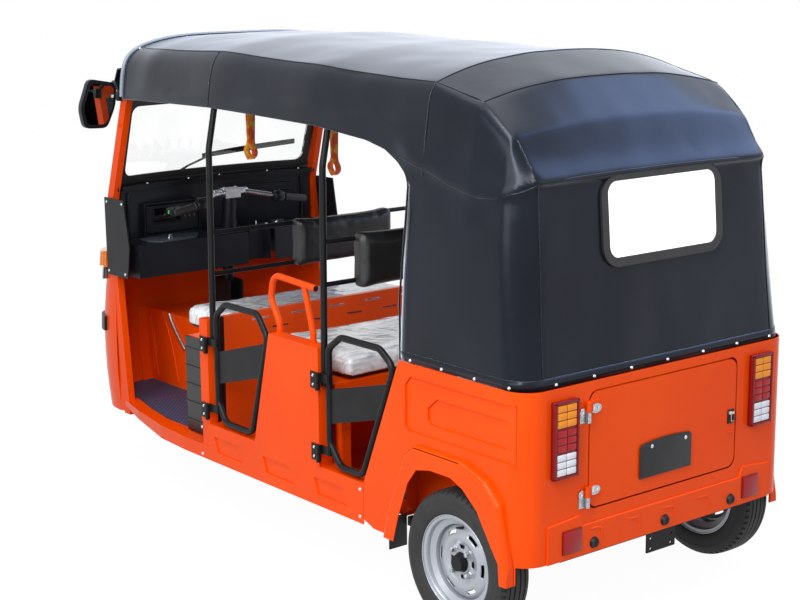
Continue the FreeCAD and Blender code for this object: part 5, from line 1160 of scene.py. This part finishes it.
dashForm = {
    "lid": [(432, -2372), (300, -2392), (172, -2384), (140, -2348), (210, -2262), (300, -2242), (396, -2240),
            (440, -2290)],
    "tray": 1012.2, "screen": (200, 332, 1074, 1134), "screenY": -2409.6, "bar": 1190, "barRadius": 11,
    "knobs": (323, -192), "pilotLamps": (128, 152, 176), "wallPosts": (-462, 462), "clampFeet": (-70, 70),
    "clampBolts": (-30, 30),
    "knob": [(0, 0), (0.013, 0), (0.0125, 0.004), (0.009, 0.0075), (0.0085, 0.014), (0.006, 0.016), (0, 0.0165)],
    # height of each rib on the bowed wall, with the stations across where it starts and ends
    "ribs": ((1198, -90, -420), (1160, -110, -430)),
    # screws on the top, on the switch box, and on the outer side of each dash cheek (station, height)
    "topScrews": ((130, -2440), (-288, -2426), (-40, -2449), (360, -2412), (-450, -2402)),
    "boxScrews": ((-220, 1036), (-252, 1022)),
    "cheekScrews": ((-2420, 1188), (-2422, 884), (-2290, 1190), (-2282, 884)),
}


def dashPieces():
    bm = bmesh.new()
    lid = dashForm["lid"]
    for outline in (lid, [(-x * 0.98 + 6, y) for x, y in lid[::-1]]):
        pressed(bm, [mm(x, y, dashForm["tray"]) for x, y in outline], (0, 0, 0.004), 0.003, 3)
    # the lids wear the grey plastic, whose lighter colour is a painted sheen
    finishPiece("tray_lids", bm, sheenPaintedTray)
    bm = bmesh.new()
    for x in dashForm["knobs"]:
        turned(bm, dashForm["knob"], mm(x, -2300, 1015.8), (0, 0.2, 1), 20)
    turned(bm, [(0, 0), (0.016, 0), (0.0155, 0.006), (0.011, 0.009), (0, 0.009)], mm(-128, -2300, 1012), (0, 0.2, 1),
           20)
    turned(bm, [(0, 0), (0.008, 0), (0.008, 0.003), (0, 0.003)], mm(-128, -2299, 1021), (0, 0.2, 1), 16)
    roundBox(bm, mm(-131, -2312, 1022), mm(-125, -2290, 1046), 0.0012)
    finishPiece("dash_knobs_and_key", bm, chrome)
    bm = bmesh.new()
    x0, x1, z0, z1 = dashForm["screen"]
    y = dashForm["screenY"]
    roundBox(bm, mm(x0 - 9, y - 1, z0 - 9), mm(x1 + 9, y + 2.4, z1 + 9), 0.0016, 2, material=0)
    roundBox(bm, mm(x0, y + 0.5, z0), mm(x1, y + 3.4, z1), 0.0008, 2, material=1)
    roundBox(bm, mm(258, y + 2.5, 1104), mm(262, y + 3.9, 1120), 0.0004, 1, material=2)
    for x in dashForm["pilotLamps"]:
        turned(bm, [(0, 0), (0.0075, 0), (0.007, 0.002), (0, 0.0026)], mm(x, y, 1086), (0, 1, 0), 16, material=1)
    finishPiece("meter_display", bm, [plastic, displayGlass, tellTale])
    # ribs on the bowed wall, at the right of the column
    bm = bmesh.new()
    for z, x0, x1 in dashForm["ribs"]:
        line = []
        for index in range(9):
            x = x0 + (x1 - x0) * index / 8
            wall = -2400 - 72 * (1 - (x / 505) ** 2) + 4.6
            line.append(mm(x, wall, z - 6 * (index / 8) ** 2))
        addWire(bm, line, 0.0055)
    for x in dashForm["wallPosts"]:
        addWire(bm, [mm(x, -2396, 1030), mm(x * 1.02, -2398, 1120), mm(x, -2402, 1215)], 0.006)
    finishPiece("dash_wall_ribs", bm, plastic, smooth=60)
    bm = bmesh.new()
    roundBox(bm, mm(-266, -2322, 1011.5), mm(-206, -2262, 1046), 0.006, 3)
    finishPiece("switch_box", bm, plastic)
    spots = [((x, y, 1250.6), (0, 0, 1)) for x, y in dashForm["topScrews"]]
    spots += [((x, -2261, z), (0, 1, 0)) for x, z in dashForm["boxScrews"]]
    spots += [((side * 561.6, y, z), (side, 0, 0)) for side in (1, -1) for y, z in dashForm["cheekScrews"]]
    screws("dash_screws", spots, 6.5, 3.5)


def gripAxis(side):
    low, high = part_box("handlebar")
    thick = dashForm["barRadius"] / 1000
    outer = Vector((side * high[0], high[1] - thick, low[2] + thick))
    inner = outer + Vector((side * -0.114, -0.004, 0.018))
    return inner, outer, (outer - inner).normalized()


def handControls():
    bm = bmesh.new()
    grip = [(0, 0), (0.0195, 0), (0.0205, 0.003), (0.0165, 0.006)]
    for index in range(10):
        at = 0.008 + index * 0.0102
        grip += [(0.0165, at), (0.0172, at + 0.002), (0.0172, at + 0.006), (0.0163, at + 0.0082)]
    grip += [(0.0165, 0.1115), (0.018, 0.1135), (0.0155, 0.117), (0, 0.1175)]
    for side in (1, -1):
        inner, outer, way = gripAxis(side)
        turned(bm, grip, inner + way * 0.004, way)
    finishPiece("handlebar_grips", bm, seal, "steering")
    bm = bmesh.new()
    housing = [(0, 0), (0.022, 0), (0.0255, 0.004), (0.0265, 0.03), (0.024, 0.046), (0.02, 0.05), (0, 0.05)]
    ahead = Vector((0, -0.02, 0.002))
    for side in (1, -1):
        inner, outer, way = gripAxis(side)
        # switch housing round the bar, then the lever that runs before the grip
        turned(bm, housing, inner - way * 0.052, way, 20)
        roundBox(bm, inner - way * 0.045 + Vector((-0.012, -0.005, 0.012)),
                 inner - way * 0.015 + Vector((0.012, 0.018, 0.034)), 0.004)
        root = inner - way * 0.03
        addWire(bm, [root, root + ahead * 0.8, root + ahead + way * 0.03, inner + ahead + way * 0.05,
                     inner + ahead * 1.05 + way * 0.1, outer + ahead - way * 0.03], 0.0052)
    finishPiece("switches_and_levers", bm, plastic, "steering", smooth=50)
    bm = bmesh.new()
    top = dashForm["bar"]
    roundBox(bm, mm(-46, -2326, top + 8), mm(46, -2284, top + 19), 0.004, 3)
    for x in dashForm["clampFeet"]:
        roundBox(bm, mm(x - 22, -2318, top - 13), mm(x + 22, -2288, top + 15), 0.006, 3)
    for x in dashForm["clampBolts"]:
        turned(bm, [(0, 0), (0.0065, 0), (0.0065, 0.005), (0, 0.006)], mm(x, -2304, top + 18.5), (0, 0, 1), 6)
    finishPiece("bar_clamp", bm, castAlloy, "steering")
    bm = bmesh.new()
    turned(bm, [(0, 0), (0.036, 0), (0.038, 0.01), (0.032, 0.07), (0.034, 0.12), (0.028, 0.145), (0, 0.145)],
           mm(0, -2321, 1022), (0, 0.1, 1), 28)
    finishPiece("column_cover", bm, plastic, "steering")


dashPieces()
handControls()
print("dashboard")


# small pieces on the body

bodyForm = {
    "gatePivots": (-1497, -751), "hingeLevels": (455, 725), "hingeBolts": (-17, 17),
    "sillBolts": ((-1558, 378), (-1560, 266), (-521, 377), (-522, 275)),
    "bow": [(541, 1812), (420, 1846), (200, 1866), (0, 1869)], "bowY": -1800,
    # name, station across, lowest point
    "straps": (("left", 218, 1400), ("right", -213, 1296)),
    # half width, edges of the band as steps ahead of the bow and height, down to the loop
    "bandHalf": 19, "loopHalf": 15, "band": [(0, 1881), (11, 1874), (13, 1800), (6, 1600)],
}


def bodyPieces():
    spots = [((side * 652, pivot - 36, level + z), (side, 0, 0)) for side in (1, -1)
             for pivot in bodyForm["gatePivots"] for level in bodyForm["hingeLevels"] for z in bodyForm["hingeBolts"]]
    screws("hinge_bolts", spots, 6.5, 4, steps=6)
    spots = [((side * 648, y, z), (side, 0, 0)) for side in (1, -1) for y, z in bodyForm["sillBolts"]]
    screws("sill_bolts", spots, 7, 3.4)
    bm = bmesh.new()
    for side in (1, -1):
        turned(bm, [(0, 0), (0.0105, 0), (0.0105, 0.0008), (0, 0.0008)], mm(side * 604, -826.4, 1048), (0, 1, -0.05),
               20)
    finishPiece("handle_end_caps", bm, seal)
    # bow under the canopy, with the two hand straps that hang from it
    bm = bmesh.new()
    half = [(x, bodyForm["bowY"], z) for x, z in bodyForm["bow"]]
    addWire(bm, placed(onSide(-1, half) + half[-2::-1]), 0.009)
    finishPiece("strap_bow", bm, blackSteel, smooth=60)
    for name, x, foot in bodyForm["straps"]:
        handStrap("hand_strap_" + name, x, foot)


def handStrap(name, x, foot):
    # a doubled band over the bow, drawn together above the loop at its foot
    bm = bmesh.new()
    wide, bowY = bodyForm["bandHalf"], bodyForm["bowY"]
    loop = []
    for index in range(15):
        turn = -0.9 + (math.pi + 1.8) * index / 14
        loop.append((bowY - 26 * math.cos(turn), foot + 34 - 34 * math.sin(turn), bodyForm["loopHalf"]))
    band = [(ahead, z, wide) for ahead, z in bodyForm["band"]] + [(3, foot + 80, wide)]
    front = [(bowY - ahead, z, half) for ahead, z, half in band]
    back = [(bowY + ahead, z, half) for ahead, z, half in band[::-1]]
    rows = []
    for index, (y, z, half) in enumerate(front + loop + back):
        lean = 3 * math.sin(index * 1.1)
        rows.append([bm.verts.new(mm(x - half + lean, y, z)), bm.verts.new(mm(x + half + lean, y, z))])
    for low, high in zip(rows, rows[1:]):
        bm.faces.new((low[0], low[1], high[1], high[0]))
    bmesh.ops.subdivide_edges(bm, edges=bm.edges, cuts=2, smooth=0.6)
    bmesh.ops.recalc_face_normals(bm, faces=bm.faces)
    area = sum(face.calc_area() for face in bm.faces)
    obj = thickened(finishPiece(name, bm, webbing, smooth=70), 0.0022)


panelForm = {
    # outlines of the left side; the right side mirrors them. Toe floor and outer edge are (across, station)
    "toe": [(239, -2294), (541, -2294), (548, -2384), (528, -2480), (494, -2548), (400, -2608), (300, -2638),
            (239, -2648)],
    "edge": [(516, -2300), (552, -2300), (578, -2150), (612, -1900), (626, -1700), (604, -1585), (516, -1585)],
    # wall beside the wheel well and sheet behind the front pillar, (station, height)
    "wall": [(-2620, 300), (-2656, 300), (-2674, 420), (-2678, 560), (-2674, 640), (-2620, 640)],
    "pillar": [(-2386, 258), (-2322, 258), (-2346, 480), (-2366, 700), (-2386, 832)],
    "corner": [(236, -2640, 300), (292, -2632, 300), (292, -2654, 420), (292, -2660, 560), (292, -2660, 642),
               (236, -2666, 642), (236, -2666, 560), (236, -2660, 420)],
    "ribs": ([(-2634, 600), (-2578, 325)], [(-2520, 636), (-2439, 509), (-2400, 327)],
             [(-2608, 560), (-2592, 470), (-2588, 372)], [(-2300, 560), (-2262, 470), (-2256, 352)]),
    "strip": ((-2462, 636), (-2433, 581), (-2333, 491)),
    # half width, station of its ends, depth of its bow and the three heights of the rubber under the windscreen
    "rubber": (524, -2378, 108, (1232, 1252, 1272)),
}


def frontPanels():
    # toe floors beside the wheel well, and the sheets that close the corners round them
    bm = bmesh.new()
    for side in (1, -1):
        pressed(bm, [mm(side * x, y, 297) for x, y in panelForm["toe"]], (0, 0, 0.003), 0)
    finishPiece("toe_floor_mats", bm, matFinish, smooth=20)
    bm = bmesh.new()
    for side in (1, -1):
        pressed(bm, [mm(side * 239, y, z) for y, z in panelForm["wall"]], (side * 0.003, 0, 0), 0)
        pressed(bm, [mm(side * x, y, 293) for x, y in panelForm["edge"]], (0, 0, 0.003), 0)
        pressed(bm, [mm(side * 551, y, z) for y, z in panelForm["pillar"]], (side * 0.003, 0, 0), 0)
        pressed(bm, placed(onSide(side, panelForm["corner"])), (0, 0.003, 0), 0)
    finishPiece("corner_closing_sheets", bm, paint, smooth=20)
    # pressed ribs on the side of the wheel well, and the bright strip between them
    bm = bmesh.new()
    for side in (1, -1):
        for line in panelForm["ribs"]:
            addWire(bm, [mm(side * 242.5, y, z) for y, z in line], 0.0036, 3, len(line) > 2)
        addWire(bm, [mm(side * 243, y, z) for y, z in panelForm["strip"]], 0.008, 3, True, 1)
    finishPiece("footwell_ribs", bm, [paint, zinc], smooth=60)
    # black rubber between the windscreen and the dashboard
    bm = bmesh.new()
    half, ends, bow, heights = panelForm["rubber"]
    verts = []
    for index in range(41):
        turn = math.pi * index / 40
        x = abs(math.cos(turn)) ** 0.62 * math.copysign(half, math.cos(turn))
        verts.append([bm.verts.new(mm(x, ends - bow * math.sin(turn) ** 0.72, z)) for z in heights])
    for low, high in zip(verts, verts[1:]):
        for k in (0, 1):
            bm.faces.new((low[k], high[k], high[k + 1], low[k + 1]))
    bmesh.ops.recalc_face_normals(bm, faces=bm.faces)
    thickened(finishPiece("windscreen_foot_rubber", bm, seal, smooth=40), 0.005)


springForm = {
    "leaves": (1.0, 0.78, 0.56, 0.36), "leaf": 6, "pitch": 7, "wide": 50, "track": 293,
    # station of the middle, half length, height and rise of the first leaf
    "line": (-22, 290, 240, 56), "eyes": (-312, 268), "clamps": (-34, 34),
}


def springs():
    # four leaves, each shorter than the one above, with an eye at both ends of the first
    middle, reach, height, rise = springForm["line"]
    bm = bmesh.new()
    for side in (1, -1):
        track = side * springForm["track"]
        for index, share in enumerate(springForm["leaves"]):
            line = []
            for step in range(17):
                t = (step / 8 - 1) * share
                line.append((middle + reach * t, height + rise * t * t - springForm["pitch"] * index))
            outline = line + [(y, z - springForm["leaf"]) for y, z in line[::-1]]
            x = track - springForm["wide"] / 2
            pressed(bm, [mm(x, y, z) for y, z in outline], (springForm["wide"] / 1000, 0, 0), 0)
        for end in springForm["eyes"]:
            turned(bm, [(0, 0), (0.013, 0), (0.013, 0.056), (0, 0.056)], mm(track - 28, end, 294), (1, 0, 0), 20)
        for y in springForm["clamps"]:
            roundBox(bm, mm(track - 33, y - 5, 206), mm(track + 33, y + 5, 268), 0.003)
    finishPiece("leaf_spring_packs", bm, blackSteel, smooth=30, stand=["leaf_springs"])


def wiperBlade():
    # holder of the blade: a bow over the outer half of the wiper
    bm = bmesh.new()
    line = [(28, -2482, 1337), (-100, -2466, 1352), (-215, -2455, 1361), (-330, -2434, 1370), (-436, -2411, 1377)]
    for lift in (-4, 3, 10):
        addWire(bm, [mm(x, y, z + lift) for x, y, z in line], 0.0042, 3)
    finishPiece("wiper_blade_holder", bm, plastic, smooth=60)


bodyPieces()
frontPanels()
springs()
wiperBlade()
print("body pieces")


# cushions, backrests and the film over them

seatForm = {
    # low corner, high corner, voxel, most movement
    "cushion_driver": ((-498, -1938, 705), (498, -1540, 799), 12, 12),
    "cushion_middle": ((-538, -1238, 705), (538, -732, 799), 12, 12),
    "cushion_rear": ((-468, -316, 705), (468, 94, 799), 12, 12),
    "backrest_driver": ((-260, -1510, 986), (260, -1422, 1201), 9, 9),
    "backrest_middle": ((-509, -772, 1041), (509, -680, 1266), 10, 9),
    "backrest_rear": ((-468, 98, 801), (468, 156, 1179), 10, 8),
}
stuffing = {"inset": 9, "frames": 20, "pressure": 4.0, "fill": 0.8}


def stuffed(name, low, high, voxel, cap):
    # a box of cloth blown up by pressure, kept inside its two corners
    inset = stuffing["inset"]
    back = name.startswith("backrest")
    start = [v + inset for v in low]
    if not back:
        start[2] = low[2] + 2
    bm = bmesh.new()
    roundBox(bm, mm(*start), mm(*(v - inset for v in high)), 0.022, 3)
    obj = newObject(name, bm)
    remesh = obj.modifiers.new("even", "REMESH")
    remesh.mode = "VOXEL"
    remesh.voxel_size = voxel / 1000
    applied(obj)
    for face in obj.data.polygons:
        face.use_smooth = True
    plain = [vert.co.copy() for vert in obj.data.vertices]
    cloth = obj.modifiers.new("stuffing", "CLOTH")
    cloth.settings.use_pressure = True
    cloth.settings.uniform_pressure_force = stuffing["pressure"]
    cloth.settings.effector_weights.gravity = 0
    cloth.settings.quality = 5
    cloth.point_cache.frame_start = 1
    cloth.point_cache.frame_end = stuffing["frames"]
    for number in range(1, stuffing["frames"] + 1):
        bpy.context.scene.frame_set(number)
    applied(obj)
    lowest, highest = mm(*low), mm(*high)
    for vert, base in zip(obj.data.vertices, plain):
        move = vert.co - base
        if move.length > cap / 1000:
            move = move.normalized() * cap / 1000
        vert.co = [min(max(base[axis] + move[axis], lowest[axis]), highest[axis]) for axis in range(3)]
    soft = obj.modifiers.new("soft", "SUBSURF")
    soft.levels = 1
    soft.render_levels = 1
    applied(obj)
    pulls(obj, lowest, highest, back)
    obj.data.materials.clear()
    obj.data.materials.append(vinyl)
    obj.data.shade_smooth()
    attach(obj, "chassis")
    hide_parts("seat_backrests" if back else "seat_cushions")
    print(name, len(obj.data.polygons), "faces")
    return obj


def pulls(obj, low, high, back):
    # small pulls of the cover towards its seams, and the seam's own groove
    for vert, normal in zip(obj.data.vertices, obj.data.vertex_normals):
        co = vert.co
        drop = 0.0016 * noise.noise(co * 11) + 0.0008 * noise.noise(co * 31)
        seamAway = min(abs(co.y - low.y), abs(high.y - co.y)) - 0.02 if back else high.z - co.z - 0.024
        groove = math.exp(-(seamAway / 0.0035) ** 2)
        vert.co = co + Vector(normal.vector) * (drop - 0.0022 * groove)


def film(name, cushion, low):
    # clear film drawn over a cushion: creased into sharp small ridges, ending under its lower edge
    bm = bmesh.new()
    bm.from_mesh(cushion.data)
    gone = [face for face in bm.faces if face.calc_center_median().z < low / 1000 or face.normal.z < -0.35]
    bmesh.ops.delete(bm, geom=gone, context="FACES")
    bm.normal_update()
    for vert in bm.verts:
        co = vert.co
        ridge = 0.0
        for scale, share in ((7, 1.0), (16, 0.6), (34, 0.3)):
            spot = Vector((co.x * scale, co.y * scale * 0.7 + co.x * scale * 0.4, co.z * scale))
            ridge += share * (1 - abs(noise.noise(spot)) * 4)
        vert.co = co + vert.normal * (0.0016 + 0.0015 * max(ridge, 0))
    area = sum(face.calc_area() for face in bm.faces)
    obj = thickened(finishPiece(name, bm, wrapFilm, smooth=180), 0.0004)


seats = {name: stuffed(name, *spec) for name, spec in seatForm.items()}
for name in ("driver", "middle", "rear"):
    film("wrap_film_" + name, seats["cushion_" + name], 722)
bpy.context.scene.frame_set(1)
print("seats")


# light, floor and camera


def seenShare(mat):
    # 1 for rays that show the surroundings themselves: straight, through glass or in a gloss; 0 for the rest
    rays = addNode(mat, "LightPath").outputs
    seen = addNode(mat, "Math", {"operation": "MAXIMUM"}, {0: rays["Is Camera Ray"], 1: rays["Is Transmission Ray"]})
    return addNode(mat, "Math", {"operation": "MAXIMUM"}, {0: seen.outputs[0], 1: rays["Is Glossy Ray"]}).outputs[0]


studio = {
    "worldLight": 0.45, "floorShare": 0.88, "floorGlow": 1.1, "floorRadius": 60,
    # place, aimed at, size across and along, watts, colour
    "over_roof": ((0.6, 0.4, 5.2), (0, 0, 1.0), (4.5, 4.5), 165, "FFFFFF"),
    "left_side": ((6.2, 1.6, 3.2), (0, 0.2, 0.8), (3.5, 3.5), 165, "FFFFFF"),
    "behind": ((-1.5, 6.0, 3.2), (0, 0.5, 0.9), (3.5, 3.5), 52, "FFFFFF"),
    "strip": ((2.6, 2.4, 3.4), (0.5, 0.9, 0.5), (0.35, 3.4), 110, "FFFFFF"),
    "right_high": ((-3.2, 2.2, 4.3), (0, 1.2, 1.6), (2.4, 2.4), 80, "96BCFF"),
}


def surroundings():
    world = bpy.data.worlds.new("pale_studio")
    bpy.context.scene.world = world
    world.use_nodes = True
    world.node_tree.nodes.clear()
    level = addNode(world, "MapRange", {3: studio["worldLight"], 4: 1.0}, {0: seenShare(world)})
    back = addNode(world, "Background", {"Color": linear("FFFFFF")}, {"Strength": level.outputs[0]})
    addNode(world, "OutputWorld", links={"Surface": back.outputs[0]})

    bm = bmesh.new()
    bmesh.ops.create_circle(bm, cap_ends=True, segments=64, radius=studio["floorRadius"])
    floor = newObject("studio_floor", bm)
    # painted floor: matt pale grey, lit from itself so that it reads as the photograph's white ground
    mat, shader, place = newMaterial("painted_studio_floor", {
        "Base Color": linear("B4B4B3"), "Roughness": 0.9, "Specular IOR Level": 0.1})
    glow = addNode(mat, "Emission", {"Color": linear("FFFFFF"), "Strength": studio["floorGlow"]})
    part = addNode(mat, "Math", {"operation": "MULTIPLY", 1: studio["floorShare"]}, {0: seenShare(mat)})
    mix = addNode(mat, "MixShader", links={0: part.outputs[0], 1: shader.outputs[0], 2: glow.outputs[0]})
    out = [node for node in mat.node_tree.nodes if node.type == "OUTPUT_MATERIAL"][0]
    mat.node_tree.links.new(mix.outputs[0], out.inputs["Surface"])
    floor.data.materials.append(mat)

    for name in ("over_roof", "left_side", "behind", "strip", "right_high"):
        place, aim, (wide, deep), power, colour = studio[name]
        light = bpy.data.lights.new(name, "AREA")
        light.shape = "RECTANGLE"
        light.size = wide
        light.size_y = deep
        light.energy = power
        light.color = linear(colour)[:3]
        lamp = bpy.data.objects.new(name, light)
        lamp.location = place
        lamp.rotation_euler = (Vector(aim) - Vector(place)).to_track_quat("-Z", "Y").to_euler()
        bpy.context.scene.collection.objects.link(lamp)


def camera():
    # solved from the photograph: the vehicle is seen from its left rear and a little above
    view = {
        "place": (4.0415, 5.0871, 2.2196),
        "right": (-0.77678, 0.62973, -0.00708),
        "up": (-0.13358, -0.15377, 0.97904),
        "lens": 74.22,
    }
    right = Vector(view["right"]).normalized()
    up = Vector(view["up"])
    up = (up - right * up.dot(right)).normalized()
    back = right.cross(up)
    data = bpy.data.cameras.new("photo_camera")
    data.lens = view["lens"]
    data.sensor_width = 36
    data.sensor_fit = "HORIZONTAL"
    cam = bpy.data.objects.new("photo_camera", data)
    turn = Matrix((right, up, back)).transposed()
    cam.matrix_world = Matrix.Translation(view["place"]) @ turn.to_4x4()
    bpy.context.scene.collection.objects.link(cam)
    bpy.context.scene.camera = cam
    bpy.context.scene.view_settings.view_transform = "Standard"


surroundings()
camera()
